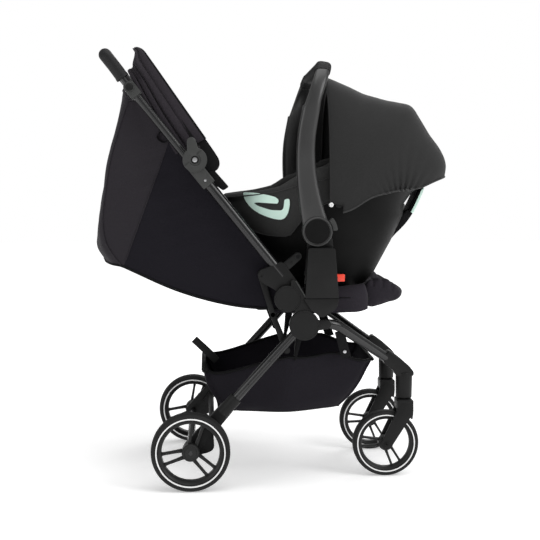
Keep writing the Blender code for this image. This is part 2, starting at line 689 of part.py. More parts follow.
def hood_fabric():
    """Hood cloth gathered between its bows: a cap strip with three pleats hanging inside it."""
    wall = 0.0022
    depth = 0.016
    count = 3
    outer = hood_arch()
    inner = hood_arch(wall)
    deep = hood_arch(depth)
    rings = []
    for i in range(len(outer)):
        reach = outer[i][0] / HOOD_REACH
        front = 0.050 - 0.048 * reach
        back = -0.001 - 0.030 * sin(pi / 2 * min(reach / 0.83, 1)) + 0.020 * max(0, reach - 0.83) / 0.17
        span = front - back
        ring = [hood_point(*outer[i], front), hood_point(*outer[i], back)]
        for k in range(count + 1):
            off = back + span * k / count
            step = span / count
            if k == 0:
                ring.append(hood_point(*deep[i], off + 0.001))
                ring.append(hood_point(*deep[i], off + 0.001 + wall))
                ring.append(hood_point(*inner[i], off + wall + 0.0005))
            elif k == count:
                ring.append(hood_point(*inner[i], off - wall - 0.0005))
                ring.append(hood_point(*deep[i], off - 0.001 - wall))
                ring.append(hood_point(*deep[i], off - 0.001))
            else:
                ring.append(hood_point(*inner[i], off - min(wall, step * 0.2)))
                ring.append(hood_point(*deep[i], off))
                ring.append(hood_point(*inner[i], off + min(wall, step * 0.2)))
        rings.append(ring)
    place("hood_fabric", loft(rings), FABRIC, at(HOOD_PIVOT, 0))


def hood_bow():
    inset = 0.0199
    arch = [point for point in hood_arch(inset) if point[0] > 0.045]
    off = 0.020
    path = [hood_point(r, y, off - 0.012 * r / HOOD_REACH) for r, y in arch]
    right_end = hood_point(HOOD_BOW_FOOT[0], -(CASTING_Y + 0.0022), HOOD_BOW_FOOT[1])
    first = Vector((right_end.x, path[0].y, right_end.z))
    left_end = Vector((right_end.x, -right_end.y, right_end.z))
    last = Vector((first.x, -first.y, first.z))
    route = [right_end, first] + path + [last, left_end]
    place("hood_bow", pipe(route, 0.0036, 6), PAINT, at(HOOD_PIVOT, 0))


def hood_hinge(sign, tag):
    inner = sign * (CASTING_Y + 0.0025)
    outer = inner + sign * 0.0115
    bow_foot = hood_point(HOOD_BOW_FOOT[0], 0, HOOD_BOW_FOOT[1])
    arm = hull_outline(((*HOOD_PIVOT, 0.0170), (bow_foot.x, bow_foot.z, 0.0100)))
    shape = disc(HOOD_PIVOT, 0.0265, inner, outer, 18, 0.0015)
    shape = join(shape, plate(arm, inner, outer - sign * 0.002))
    shape = cut(shape, disc(HOOD_PIVOT, PIN_R + SEAT, inner - sign * 0.01, inner + sign * 0.0062, 12))
    place(f"hood_hinge_{tag}", shape, GREY_PLASTIC, at(HOOD_PIVOT, 0))


# Seat

def seat_base():
    """Board under the seat pad, with saddles on the cross shaft and cheeks at the recline axis."""
    half = SEAT_HALF_W
    front = LEG_REST_PIVOT[0] - 0.014
    rear = BACK_PIVOT[0] + 0.014
    shape = box((rear, front), (-half, half), (SEAT_Z, SEAT_Z + BOARD_T))
    shaft_x, shaft_z = LEG_PIVOT
    for y in (-0.13, 0.13):
        saddle = [(shaft_x - 0.016, SEAT_Z + 0.004), (shaft_x + 0.016, SEAT_Z + 0.004),
                  (shaft_x + 0.016, shaft_z - 0.004),
                  (shaft_x - 0.016, shaft_z - 0.004)]
        shape = join(shape, plate(saddle, y - 0.010, y + 0.010))
        shape = cut(shape, disc(LEG_PIVOT, SHAFT_R + SEAT, y - 0.02, y + 0.02, 16))
    for sign, _ in SIDES:
        cheek = hull_outline(((*BACK_PIVOT, 0.0170), (BACK_PIVOT[0] + 0.045, SEAT_Z + 0.006, 0.0060)))
        shape = join(shape, plate(cheek, sign * (half - 0.004), sign * (half + 0.0085)))
        shape = cut(shape, disc(BACK_PIVOT, 0.0040 + SEAT, sign * (half - 0.02), sign * (half + 0.0055), 12))
        pocket = disc(BACK_PIVOT, 0.0185, sign * (half - 0.02), sign * (half - SEAT), 16)
        shape = cut(shape, pocket)
        lug = hull_outline(((*LEG_REST_PIVOT, 0.0070), (front - 0.012, SEAT_Z + 0.004, 0.0040)), 6)
        shape = join(shape, plate(lug, sign * (LEG_REST_HALF_W + 0.0012), sign * (LEG_REST_HALF_W + 0.0100)))
        reach = (sign * (LEG_REST_HALF_W - 0.02), sign * (LEG_REST_HALF_W + 0.03))
        shape = cut(shape, disc(LEG_REST_PIVOT, 0.0035 + SEAT, *reach, 10))
    place("seat_base", shape, PLASTIC)


def cushion(length, half_width, thick, channels, columns=10, rows=9, corner=0.03):
    """Crowned cushion lying flat from x = 0 to length, with sewn channels across it."""
    top, under = [], []
    for j in range(rows + 1):
        v = j / rows
        line_top, line_under = [], []
        for i in range(columns + 1):
            u = 2 * i / columns - 1
            pull = corner * (abs(2 * v - 1) ** 6) * 0.5
            x = length * v
            y = (half_width - pull) * u
            edge = (1 - abs(u) ** 6) * (1 - abs(2 * v - 1) ** 6)
            crown = thick * (0.32 + 0.68 * max(edge, 0) ** 0.5)
            for line in channels:
                crown -= thick * 0.28 * max(0.0, 1 - abs(v - line) * rows) * max(edge, 0) ** 0.5
            line_top.append(Vector((x, y, crown)))
            line_under.append(Vector((x, y, 0.0)))
        top.append(line_top)
        under.append(line_under)
    rings = [a + list(reversed(b)) for a, b in zip(top, under)]
    return loft(rings)


def seat_pad():
    rear = BACK_PIVOT[0] + 0.016
    front = LEG_REST_PIVOT[0] - 0.031
    shape = cushion(front - rear, SEAT_HALF_W - 0.006, SEAT_PAD_T, (0.333, 0.667), 10, 9)
    bmesh.ops.translate(shape, verts=shape.verts, vec=(rear, 0, SEAT_Z + BOARD_T + SEAT))
    place("seat_pad", shape, FABRIC, smooth=60)


def back_frame_matrix():
    """Backrest drawn flat along +X, then turned up about the recline axis."""
    return Matrix.Translation(at(BACK_PIVOT, 0)) @ Matrix.Rotation(-BACK_ANGLE, 4, "Y")


def backrest_board():
    half = SEAT_HALF_W - RUN
    shape = box((0.024, BACK_LENGTH), (-half, half), (-0.004, 0.004))
    bmesh.ops.bevel(shape, geom=[e for e in shape.edges if abs(e.verts[0].co.z - e.verts[1].co.z) > 0.006
                                 and e.verts[0].co.x > 0.1], offset=0.030, segments=3, affect="EDGES")
    bmesh.ops.transform(shape, matrix=back_frame_matrix(), verts=shape.verts)
    end = Vector(BACK_PIVOT) + Vector((cos(BACK_ANGLE), sin(BACK_ANGLE))) * 0.040
    for sign, _ in SIDES:
        lug = hull_outline(((*BACK_PIVOT, 0.0085), (end.x, end.y, 0.0040)), 5)
        shape = join(shape, plate(lug, sign * (half - 0.012), sign * half))
        shape = join(shape, disc(BACK_PIVOT, 0.0040, sign * (half - 0.006), sign * (SEAT_HALF_W + 0.0050), 12))
    place("backrest_board", shape, PLASTIC, at(BACK_PIVOT, 0))


def backrest_pad():
    length = BACK_LENGTH - 0.030
    shape = cushion(length, SEAT_HALF_W - 0.003, 0.024, (0.30, 0.60, 0.80), 10, 10)
    flip = Matrix.Diagonal((1, 1, -1, 1))
    bmesh.ops.transform(shape, matrix=flip, verts=shape.verts)
    bmesh.ops.translate(shape, verts=shape.verts, vec=(0.028, 0, -0.004 - SEAT))
    bmesh.ops.transform(shape, matrix=back_frame_matrix(), verts=shape.verts)
    place("backrest_pad", shape, FABRIC, at(BACK_PIVOT, 0), 60)


def leg_rest():
    """Padded leg rest, rounded at its end and hinged at the front of the seat board."""
    outline = [(0.3950, 0.4040), (0.4010, 0.4270), (0.4060, 0.4420), (0.4160, 0.4580), (0.4300, 0.4650),
               (0.4460, 0.4650), (0.4650, 0.4570), (0.4820, 0.4400), (0.4900, 0.4250), (0.4830, 0.4130),
               (0.4560, 0.4040), (0.4300, 0.3960), (0.4120, 0.3930), (0.4000, 0.3960)]
    rings = []
    columns = 10
    middle = Vector((0.4300, 0.4200))
    for i in range(columns + 1):
        u = 2 * i / columns - 1
        shrink = 1 - 0.30 * abs(u) ** 5
        y = LEG_REST_HALF_W * u
        ring = []
        for x, z in outline:
            crown = 0.012 * (1 - u * u) if x > 0.47 else 0.0
            dip = 0.036 * (1 - u * u) * max(0.0, z - 0.430) / 0.035
            point = middle + (Vector((x, z)) - middle) * shrink
            ring.append((point.x + crown, y, point.y - dip))
        rings.append(ring)
    shape = loft(rings)
    for sign, _ in SIDES:
        shape = join(shape, disc(LEG_REST_PIVOT, 0.0035, sign * (LEG_REST_HALF_W - 0.02),
                                 sign * (LEG_REST_HALF_W + 0.0095), 12))
    place("leg_rest", shape, FABRIC, at(LEG_REST_PIVOT, 0), 60)


# Seat bag: side panels and bulging rear panel hung from the handle tubes

def seat_bag():
    top_reach = COLLAR_AT - 0.030
    reach = [top_reach, 0.420, 0.340, 0.265, 0.190, 0.120, 0.060]
    rear = [(-0.1300, 0.8560), (-0.1500, 0.8000), (-0.1710, 0.7300), (-0.1830, 0.6600), (-0.1900, 0.6000),
            (-0.1860, 0.5550), (-0.1720, 0.5250), (-0.1500, 0.4960)]
    bulge = [(-0.1560, 0.8900), (-0.1680, 0.8250), (-0.1890, 0.7450), (-0.2020, 0.6700), (-0.2130, 0.6050),
             (-0.2190, 0.5560), (-0.2190, 0.5280), (-0.2030, 0.5010)]
    wall = 0.0025
    tube_inner = TUBE_Y - HOOD_MOUNT_HALF_W - 0.0006
    rings = []
    for i in range(len(rear)):
        if i < len(reach):
            hang = on_tube(reach[i], 0, -0.002)
            front, front_y = Vector((hang.x, hang.z)), tube_inner
        else:
            front, front_y = Vector((0.2180, 0.3960)), PANEL_Y
        if i >= 5:
            front_y = PANEL_Y
        back = Vector(rear[i])
        middle = Vector(bulge[i])
        sag = Vector((0.0, -0.022 if i == len(rear) - 1 else 0.0))
        side = [(front, front_y), (front.lerp(back, 0.33) + sag, PANEL_Y), (front.lerp(back, 0.66) + sag, PANEL_Y),
                (back, PANEL_Y - 0.002)]
        arc = [(back.lerp(middle, 0.45), PANEL_Y - 0.020), (back.lerp(middle, 0.80), PANEL_Y - 0.065), (middle, 0.075)]
        half = side + arc
        outer = [(p.x, y, p.y) for p, y in half] + [(p.x, -y, p.y) for p, y in reversed(half)]
        drop = [(0, wall)] * 4 + [(wall * 0.8, wall * 0.6)] + [(wall, wall * 0.2), (wall, 0)]
        inner_half = []
        for (p, y), (in_x, in_y) in zip(half, drop):
            inner_half.append((p.x + in_x, y - in_y, p.y))
        inner = inner_half + [(x, -y, z) for x, y, z in reversed(inner_half)]
        rings.append(outer + list(reversed(inner)))
    place("seat_bag", loft(rings), PANEL_FABRIC, at(FOLD_PIVOT, 0), 50)


# Basket under the seat

def basket():
    """Open-topped cloth basket, hung on the front legs and the seat board by straps."""
    rim_line = [(0.0330, 0.2480, 0.1500), (0.2200, 0.2850, 0.1780), (0.3900, 0.2860, 0.1300)]
    floor_line = [(0.0900, 0.1600, 0.1300), (0.2200, 0.1520, 0.1500), (0.3450, 0.1570, 0.1180)]
    middle_line = [(0.0480, 0.2050, 0.1450), (0.2200, 0.2150, 0.1680), (0.3870, 0.2200, 0.1300)]
    wall = 0.003

    def ring(line, shrink, lift=0.0):
        (xa, za, wa), (xm, zm, wm), (xb, zb, wb) = line
        points = []
        side = [(xa + shrink, wa - 0.030 - shrink, za), (xa + 0.012 + shrink, wa - 0.008 - shrink, za), (xa + 0.045, wa - shrink, za),
                (xm, wm - shrink, zm), (xb - 0.045, wb + 0.012 - shrink, zb), (xb - 0.010 - shrink, wb - 0.008 - shrink, zb),
                (xb - shrink, wb - 0.032 - shrink, zb)]
        for x, y, z in side:
            points.append((x, y, z + lift))
        for x, y, z in reversed(side):
            points.append((x, -y, z + lift))
        return points

    rings = [ring(floor_line, 0.0), ring(middle_line, 0.0), ring(rim_line, 0.0), ring(rim_line, wall),
             ring(middle_line, wall), ring(floor_line, wall, wall)]
    shape = loft(rings)
    for sign, _ in SIDES:
        shape = join(shape, basket_strap(sign))
    place("basket", shape, FABRIC, smooth=60)


def basket_strap(sign):
    """Webbing strap that hangs the basket from the cross shaft."""
    y = sign * 0.1660
    loop = hull_outline(((*LEG_PIVOT, SHAFT_R + 0.0018), (0.2350, 0.2700, 0.0030)), 7)
    strap = plate(loop, y - 0.012, y + 0.012)
    return cut(strap, disc(LEG_PIVOT, SHAFT_R + SEAT, y - 0.02, y + 0.02, 16))


# Carrier adapters

POST_X = (0.2690, 0.3070)


def carrier_adapter(sign, tag):
    """Bracket outside the rail with an upright post for the carrier's socket."""
    inner = sign * 0.2050
    outer = sign * (CASTING_Y + CASTING_W + 0.0015)
    top_z = CONNECTOR_BOTTOM_Z - SEAT
    outline = [(0.2484, top_z), (0.3255, top_z), (0.3205, 0.4035), (0.2870, 0.3820), (0.2756, 0.3925), (0.2645, 0.4001)]
    shape = plate(rounded(outline, [0.001, 0.002, 0.004, 0.006, 0.003, 0.001], 2), inner, outer)
    top = CONNECTOR_BOTTOM_Z + ADAPTER_POST_H
    post = box(POST_X, tuple(sorted((sign * 0.2110, sign * 0.2340))), (0.4200, top))
    bmesh.ops.bevel(post, geom=[e for e in post.edges if e.verts[0].co.z > 0.45 and e.verts[1].co.z > 0.45],
                    offset=0.003, segments=1, affect="EDGES")
    shape = join(shape, post)
    foot = hull_outline(((0.2760, 0.4120, 0.0060), (0.3060, 0.3900, 0.0050)), 6)
    shape = join(shape, plate(foot, sign * 0.1995, inner + sign * 0.002))
    place(f"carrier_adapter_{tag}", shape, PLASTIC)


# Infant carrier

RING_POINTS = 20


def tub_ring(foot, head, half_width, power=2.6):
    """Rounded ring in the sloping plane through a foot point and a head point."""
    a, b = Vector(foot), Vector(head)
    middle, reach = (a + b) / 2, (b - a) / 2
    ring = []
    for k in range(RING_POINTS):
        t = 2 * pi * k / RING_POINTS
        c, s = cos(t), sin(t)
        u = (abs(c) ** (2 / power)) * (1 if c >= 0 else -1)
        v = (abs(s) ** (2 / power)) * (1 if s >= 0 else -1)
        ring.append((middle.x + reach.x * u, half_width * v, middle.y + reach.y * u))
    return ring


SHELL_LEVELS = (((0.2350, 0.4420), (0.4020, 0.4420), 0.100),
                ((0.1700, 0.4720), (0.4380, 0.4640), 0.132),
                ((0.1150, 0.5380), (0.4820, 0.5400), 0.160),
                ((0.0860, 0.6000), (0.5230, 0.6020), 0.174),
                ((0.0800, 0.6360), (0.5780, 0.6900), 0.180))


def shrink_level(level, amount, lift=0.0):
    (fx, fz), (hx, hz), half = level
    return ((fx + amount, fz + lift), (hx - amount, hz + lift), half - amount)


def mix_levels(low, high, share):
    """Ring level part of the way from one level to the next."""
    points = [tuple(Vector(a).lerp(Vector(b), share)) for a, b in zip(low[:2], high[:2])]
    return (*points, low[2] + (high[2] - low[2]) * share)


def carrier_shell():
    """Tub with walls, hub bosses and the side connectors that drop over the adapter posts."""
    shape = loft([tub_ring(*level) for level in SHELL_LEVELS])
    connector = [(0.2570, 0.5450), (0.3180, 0.5450), (0.3250, CONNECTOR_BOTTOM_Z), (0.2520, CONNECTOR_BOTTOM_Z)]
    web = [(0.2620, 0.5300), (0.3140, 0.5300), (0.3180, 0.4650), (0.2580, 0.4650)]
    for sign, _ in SIDES:
        block = plate(rounded(connector, [0.004, 0.004, 0.001, 0.001], 2), sign * 0.1990, sign * 0.2450)
        block = cut(block, box((0.2400, 0.3350), tuple(sorted((sign * 0.2070, sign * 0.2470))), (0.5360, 0.6200)))
        block = cut(block, disc(HUB, HUB_R + 0.0125, sign * 0.2120, sign * 0.2470, 24))
        shape = join(shape, block)
        shape = join(shape, plate(web, sign * 0.1300, sign * 0.2010))
        shape = join(shape, disc(HUB, 0.0260, sign * 0.1600, sign * 0.2080, 16))
        shape = join(shape, disc(CANOPY_PIVOT, CANOPY_BOSS_R, sign * 0.1600, sign * (CANOPY_EYE_Y - SEAT), 12))
    lifts = (CARRIER_WALL, 0.003, 0.002, 0.0, 0.0)
    hollow = [tub_ring(*shrink_level(level, CARRIER_WALL, lift)) for level, lift in zip(SHELL_LEVELS, lifts)]
    (fx, fz), (hx, hz), half = shrink_level(mix_levels(SHELL_LEVELS[3], SHELL_LEVELS[4], 1.5), CARRIER_WALL)
    hollow.append(tub_ring((fx, fz), (hx, hz), half))
    shape = cut(shape, loft(hollow))
    top = CONNECTOR_BOTTOM_Z + ADAPTER_POST_H + RUN
    for sign, _ in SIDES:
        socket_y = tuple(sorted((sign * (0.2110 - RUN), sign * (0.2340 + RUN))))
        shape = cut(shape, box((POST_X[0] - RUN, POST_X[1] + RUN), socket_y, (0.40, top)))
        shape = cut(shape, disc(HUB, PIN_R + SEAT, sign * 0.1900, sign * 0.2200, 12))
        button_y = tuple(sorted((sign * 0.2140, sign * 0.2260)))
        shape = cut(shape, box((POST_X[1] + 0.0025, 0.3400), button_y, (0.4605, 0.4775)))
    place("carrier_shell", shape, PLASTIC, smooth=50)


WING = ((0.150, 0.0), (0.195, 0.004), (0.245, 0.026), (0.300, 0.040), (0.335, 0.056), (0.385, 0.060),
        (0.450, 0.046), (0.520, 0.016), (0.570, 0.0))


def winged(ring):
    """Ring of the cover's roll, lifted beside the shoulders into padded side wings."""
    lifted = []
    for x, y, z in ring:
        rise = 0.0
        for (xa, ra), (xb, rb) in zip(WING, WING[1:]):
            if xa <= x <= xb:
                rise = ra + (rb - ra) * (x - xa) / (xb - xa)
        lifted.append((x, y, z + rise))
    return lifted


def carrier_cover():
    """Padded cover: lines the tub, rolls over its rim and skirts the outside down to a hem."""
    gap = 0.0018
    inside = CARRIER_WALL + gap
    inside_lifts = (CARRIER_WALL + gap + 0.001, 0.0045, 0.003, 0.001, 0.001)
    touching = [shrink_level(level, inside, lift) for level, lift in zip(SHELL_LEVELS, inside_lifts)]
    soft = [shrink_level(level, inside + LINER_T, lift + (LINER_T if i == 0 else LINER_T * 0.5))
            for i, (level, lift) in enumerate(zip(SHELL_LEVELS, inside_lifts))]
    rim = SHELL_LEVELS[-1]
    over = 0.010
    top_in = shrink_level(rim, inside + LINER_T * 0.6, over)
    top_out = shrink_level(rim, -0.003, over)
    skirt = COVER_SKIRT
    hem_level = mix_levels(SHELL_LEVELS[3], rim, COVER_HEM)
    rings = [tub_ring(*soft[k]) for k in range(4)]
    rings.append(tub_ring(*shrink_level(rim, inside + LINER_T, 0.002)))
    rings.append(winged(tub_ring(*top_in)))
    rings.append(winged(tub_ring(*top_out)))
    rings.append(tub_ring(*shrink_level(rim, -skirt, 0.002)))
    rings.append(tub_ring(*shrink_level(hem_level, -skirt)))
    rings.append(tub_ring(*shrink_level(hem_level, -gap)))
    rings.append(tub_ring(*shrink_level(rim, -gap, 0.0)))
    rings.append(tub_ring(*shrink_level(rim, -gap, 0.0008)))
    rings.append(tub_ring(*shrink_level(rim, inside, 0.0008)))
    rings += [tub_ring(*touching[k]) for k in (4, 3, 2, 1, 0)]
    shape = loft(rings)
    bmesh.ops.triangulate(shape, faces=shape.faces, quad_method="SHORT_EDGE")
    for sign, _ in SIDES:
        shape = cut(shape, disc(CANOPY_PIVOT, CANOPY_BOSS_R + RUN, sign * 0.1760, sign * 0.2000, 12))
    place("carrier_cover", shape, CANOPY_FABRIC, smooth=60)


HEADREST_OFF = 0.0088
HEADREST_SECTION = ((-1, 0.052), (-0.92, 0.060), (-0.80, 0.040), (-0.45, 0.022), (0, 0.018), (0.45, 0.022),
                    (0.80, 0.040), (0.92, 0.060), (1, 0.052), (0.95, 0.012), (0.5, 0.0), (-0.5, 0.0), (-0.95, 0.012))


def carrier_headrest():
    """Head hugger pad lying against the head end of the liner."""
    low = Vector((0.4300, 0, 0.5050))
    high = Vector((0.5150, 0, 0.6200))
    way = (high - low).normalized()
    out = Vector((-way.z, 0, way.x))
    rings = []
    steps = 8
    for k in range(steps + 1):
        t = 2 * k / steps - 1
        half = 0.096 * (1 - 0.25 * abs(t) ** 3)
        centre = low.lerp(high, (t + 1) / 2)
        ring = []
        for y, lift in HEADREST_SECTION:
            ring.append(centre + Vector((0, half * y, 0)) + out * (lift + HEADREST_OFF))
        rings.append(ring)
    place("carrier_headrest", loft(rings), FABRIC, smooth=60)


def carrier_handle():
    """Carry handle: two wide arms from the hubs, bowed back, and the top bar."""
    arm_y = CARRY_ARM_Y
    hub_x, hub_z = HUB
    side_line = [(0.0, 0.0, 0.0300), (-0.0140, 0.060, 0.0250), (-0.0240, 0.130, 0.0215), (-0.0240, 0.200, 0.0200),
                 (-0.0130, 0.270, 0.0190), (0.0030, 0.325, 0.0160), (0.0160, 0.354, 0.0135)]
    rings = []
    half_thick = CARRY_ARM_T / 2
    for i, (dx, dz, half) in enumerate(side_line):
        ring_at = Vector((hub_x + dx, -arm_y, hub_z + dz))
        ahead = side_line[min(i + 1, len(side_line) - 1)]
        behind = side_line[max(i - 1, 0)]
        way = Vector((ahead[0] - behind[0], 0, ahead[1] - behind[1])).normalized()
        across = Vector((way.z, 0, -way.x))
        inward = Vector((0, 1, 0))
        lean = 0.0 if dz < 0.30 else 0.30 * (dz - 0.30) / 0.054
        rings.append((ring_at, across, inward, half, half_thick + 0.0015 * lean))
    corner = 0.060
    top_x, top_z = hub_x + 0.0240, hub_z + HANDLE_REACH
    ring_list = []
    for ring_at, across, inward, half, thick in rings[:-2]:
        ring_list.append(band_ring(ring_at, across, inward, half, thick))
    start_dz = side_line[-3][1]
    for k in range(1, 7):
        a = pi / 2 * k / 6
        rise = hub_z + start_dz + (top_z - hub_z - start_dz) * sin(a)
        y = -arm_y + corner * (1 - cos(a)) + 0.0
        x = hub_x + side_line[-3][0] + (top_x - hub_x - side_line[-3][0]) * sin(a)
        inward = Vector((-0.15 * sin(a), cos(a), -sin(a))).normalized()
        across = Vector((1, 0, 0.25 * cos(a)))
        across = (across - inward * across.dot(inward)).normalized()
        ring_list.append(band_ring(Vector((x, y, rise)), across, inward, 0.0190 - 0.0035 * sin(a), 0.0095))
    ring_list.append(band_ring(Vector((top_x, 0.0, top_z)), Vector((1, 0, 0)), Vector((0, 0, -1)), 0.0155, 0.0095))
    mirrored = [[Vector((p.x, -p.y, p.z)) for p in ring] for ring in reversed(ring_list[:-1])]
    shape = loft(ring_list + mirrored)
    for sign, _ in SIDES:
        face = sign * (arm_y + half_thick)
        shape = join(shape, disc(HUB, HUB_R, sign * (arm_y - half_thick - 0.0006), face + sign * 0.0015, 20))
        shape = cut(shape, disc(HUB, HUB_R - 0.0055, face - sign * 0.0010, face + sign * 0.02, 18))
        shape = join(shape, disc(HUB, PIN_R, sign * 0.1925, sign * arm_y, 12))
    place("carrier_handle", shape, PLASTIC, at(HUB, 0), 50)


def band_ring(centre, across, inward, half, thick):
    """Rounded flat section of the carry handle."""
    ring = []
    for k in range(8):
        a = 2 * pi * k / 8
        c, s = cos(a), sin(a)
        u = (abs(c) ** 0.7) * (1 if c >= 0 else -1)
        v = (abs(s) ** 0.7) * (1 if s >= 0 else -1)
        ring.append(centre + across * half * u + inward * thick * v)
    return ring


def handle_tab(sign, tag):
    """Grey squeeze tab beside a hub that frees the carry handle."""
    outer = circle_points(HUB, HUB_R + 0.0115, radians(2), radians(42), 6, True)
    inner = circle_points(HUB, HUB_R + RUN, radians(42), radians(2), 6, True)
    shape = plate(outer + inner, sign * 0.2155, sign * 0.2300, 0.001)
    place(f"handle_tab_{tag}", shape, GREY_PLASTIC, at(HUB, sign * CARRY_ARM_Y))


def release_button(sign, tag):
    """Red button that frees the carrier from its adapter."""
    body = box((0.3150, 0.3405), tuple(sorted((sign * 0.2145, sign * 0.2255))), (0.4610, 0.4770))
    bmesh.ops.bevel(body, geom=body.edges[:], offset=0.001, segments=1, affect="EDGES")
    place(f"release_button_{tag}", body, RED)


CANOPY_PROFILE = ((93.0, 0.2930), (84.0, 0.2750), (75.0, 0.2640), (62.0, 0.2690), (50.5, 0.2890), (44.0, 0.2830),
                  (35.0, 0.2780), (26.0, 0.2830), (19.0, 0.2830), (13.0, 0.2720))


def canopy_arch(angle, reach, half, wall=0.0, steps=7):
    """Arch in a plane fanned up from the canopy pivot, from the right side to the left."""
    a = radians(angle)
    way = Vector((cos(a), 0, sin(a)))
    base = Vector(at(CANOPY_PIVOT, 0))
    arch = []
    for k in range(2 * steps + 1):
        t = pi * k / (2 * steps)
        c, s = cos(t), sin(t)
        u = (abs(c) ** 0.62) * (1 if c >= 0 else -1)
        v = abs(s) ** 0.70
        arch.append(base + way * (0.004 + (reach - wall) * v) + Vector((0, -(half - wall) * u, 0)))
    return arch


def carrier_canopy():
    """Canopy cloth fanned over its bows, open at the front and below."""
    wall = 0.003
    rings = []
    for angle, reach in CANOPY_PROFILE:
        outer = canopy_arch(angle, reach, CANOPY_HALF_W)
        inner = canopy_arch(angle, reach, CANOPY_HALF_W, wall)
        rings.append(outer + list(reversed(inner)))
    place("carrier_canopy", loft(rings), CANOPY_FABRIC, at(CANOPY_PIVOT, 0), 60)


def canopy_bow():
    reach = CANOPY_PROFILE[0][1] - 0.0185
    shape = pipe(canopy_arch(89.0, reach, CANOPY_HALF_W - 0.0068), CANOPY_BOW_R, 8)
    for sign, _ in SIDES:
        eye_out = sign * (CANOPY_EYE_Y + 2 * CANOPY_BOW_R)
        shape = join(shape, disc(CANOPY_PIVOT, 0.0080, sign * CANOPY_EYE_Y, eye_out - sign * SEAT, 12))
    place("canopy_bow", shape, PLASTIC, at(CANOPY_PIVOT, 0))


def belt_guide(sign, tag):
    """Mint belt hook on the outside of the carrier cover."""
    outline = [(0.1215, 0.6560), (0.1560, 0.6550), (0.1910, 0.6460), (0.1990, 0.6390), (0.1960, 0.6310),
               (0.1510, 0.6335), (0.1440, 0.6320), (0.1520, 0.6260), (0.1800, 0.6170), (0.2050, 0.6160),
               (0.2090, 0.6220), (0.2110, 0.6400), (0.2210, 0.6430), (0.2230, 0.6330), (0.2190, 0.6090),
               (0.2110, 0.5970), (0.1960, 0.5960), (0.1680, 0.6030), (0.1400, 0.6190), (0.1260, 0.6380)]
    hook = plate(rounded(outline, 0.003, 1), sign * 0.1000, sign * 0.2000)
    hook = combine(hook, cover_skin(COVER_SKIRT + GUIDE_T), "INTERSECT")
    place(f"belt_guide_{tag}", cut(hook, cover_skin(COVER_SKIRT + 0.0009)), MINT, smooth=50)


def cover_skin(grow):
    """The cover's outer skirt as a solid, grown sideways and run past its hem and roll."""
    rim = SHELL_LEVELS[-1]
    hem = mix_levels(SHELL_LEVELS[3], rim, COVER_HEM)
    skin = loft([tub_ring(*shrink_level(level, -grow, lift))
                 for level, lift in ((hem, -0.030), (hem, 0.0), (rim, 0.002), (rim, 0.030))])
    bmesh.ops.triangulate(skin, faces=skin.faces, quad_method="SHORT_EDGE")
    return skin


def build():
    for sign, tag in SIDES:
        for piece in (side_frame, front_leg, castor_fork, rear_leg, wheel_housing, link_bar, tube_bracket, main_tube,
                      upper_tube, handle_collar, handle_button, hood_hinge, carrier_adapter, handle_tab,
                      release_button, belt_guide):
            piece(sign, tag)
    main_cross_shaft()
    wheels()
    rear_axle()
    brake_pedal()
    handlebar()
    handle_grip()
    hood_fabric()
    hood_bow()
    seat_base()
    seat_pad()
    backrest_board()
    backrest_pad()
    leg_rest()
    seat_bag()
    basket()
    carrier_shell()
    carrier_cover()
    carrier_headrest()
    carrier_handle()
    carrier_canopy()
    canopy_bow()


build()
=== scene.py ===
# %% [markdown]
# # A compact pushchair with an infant carrier clipped on top
# The real object is a folding frame of black metal tube and dark moulded castings. Sewn cloth hangs on
# it: a reclined seat bag, a hood that is folded back, a padded seat and a shopping basket. An infant
# carrier stands on two side adapters, with its own shell, padded cover, canopy and carry handle.
# This notebook keeps every pivot and every size of the measured frame and gives each piece the surface
# that one sees from a step away: smooth tube, rounded castings, wheels with tread, and cloth with seams.

# %% Load the measured frame
import json
from math import atan2, cos, pi, radians, sin

import bmesh
import bpy
from mathutils import Matrix, Vector

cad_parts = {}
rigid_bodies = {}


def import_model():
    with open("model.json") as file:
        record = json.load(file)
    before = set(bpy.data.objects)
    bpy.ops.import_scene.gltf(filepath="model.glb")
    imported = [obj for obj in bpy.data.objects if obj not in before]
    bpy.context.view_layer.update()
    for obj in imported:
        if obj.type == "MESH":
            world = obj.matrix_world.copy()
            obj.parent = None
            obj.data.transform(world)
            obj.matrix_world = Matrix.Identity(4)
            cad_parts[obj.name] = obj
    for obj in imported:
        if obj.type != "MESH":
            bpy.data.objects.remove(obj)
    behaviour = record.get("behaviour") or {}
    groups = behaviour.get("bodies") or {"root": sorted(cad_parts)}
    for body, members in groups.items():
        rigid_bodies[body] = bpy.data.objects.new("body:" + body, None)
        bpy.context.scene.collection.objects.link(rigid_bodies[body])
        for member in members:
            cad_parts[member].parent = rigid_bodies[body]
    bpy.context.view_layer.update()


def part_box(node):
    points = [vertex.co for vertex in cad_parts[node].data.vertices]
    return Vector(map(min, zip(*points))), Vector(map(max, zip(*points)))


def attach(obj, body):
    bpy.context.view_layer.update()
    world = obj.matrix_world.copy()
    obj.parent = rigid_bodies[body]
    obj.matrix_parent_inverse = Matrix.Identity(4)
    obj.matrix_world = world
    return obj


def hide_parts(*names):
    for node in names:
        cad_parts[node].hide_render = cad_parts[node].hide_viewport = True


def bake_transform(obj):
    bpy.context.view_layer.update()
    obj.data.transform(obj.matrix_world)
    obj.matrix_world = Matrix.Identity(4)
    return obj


for old in list(bpy.data.objects):
    bpy.data.objects.remove(old, do_unlink=True)
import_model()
SIDES = ((-1, "right"), (1, "left"))
axle_low, axle_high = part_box("rear_axle")
AXLE_X = (axle_low.x + axle_high.x) / 2

# %% [markdown]
# Side-view places are easiest to read off a picture when they count forward from the rear axle and up
# from the floor. The helper below turns such a place into a point of the shared frame. The pivots of
# the chair are written once here, so that tubes, castings and cloth all meet at the same points.

# %% Places that many pieces share


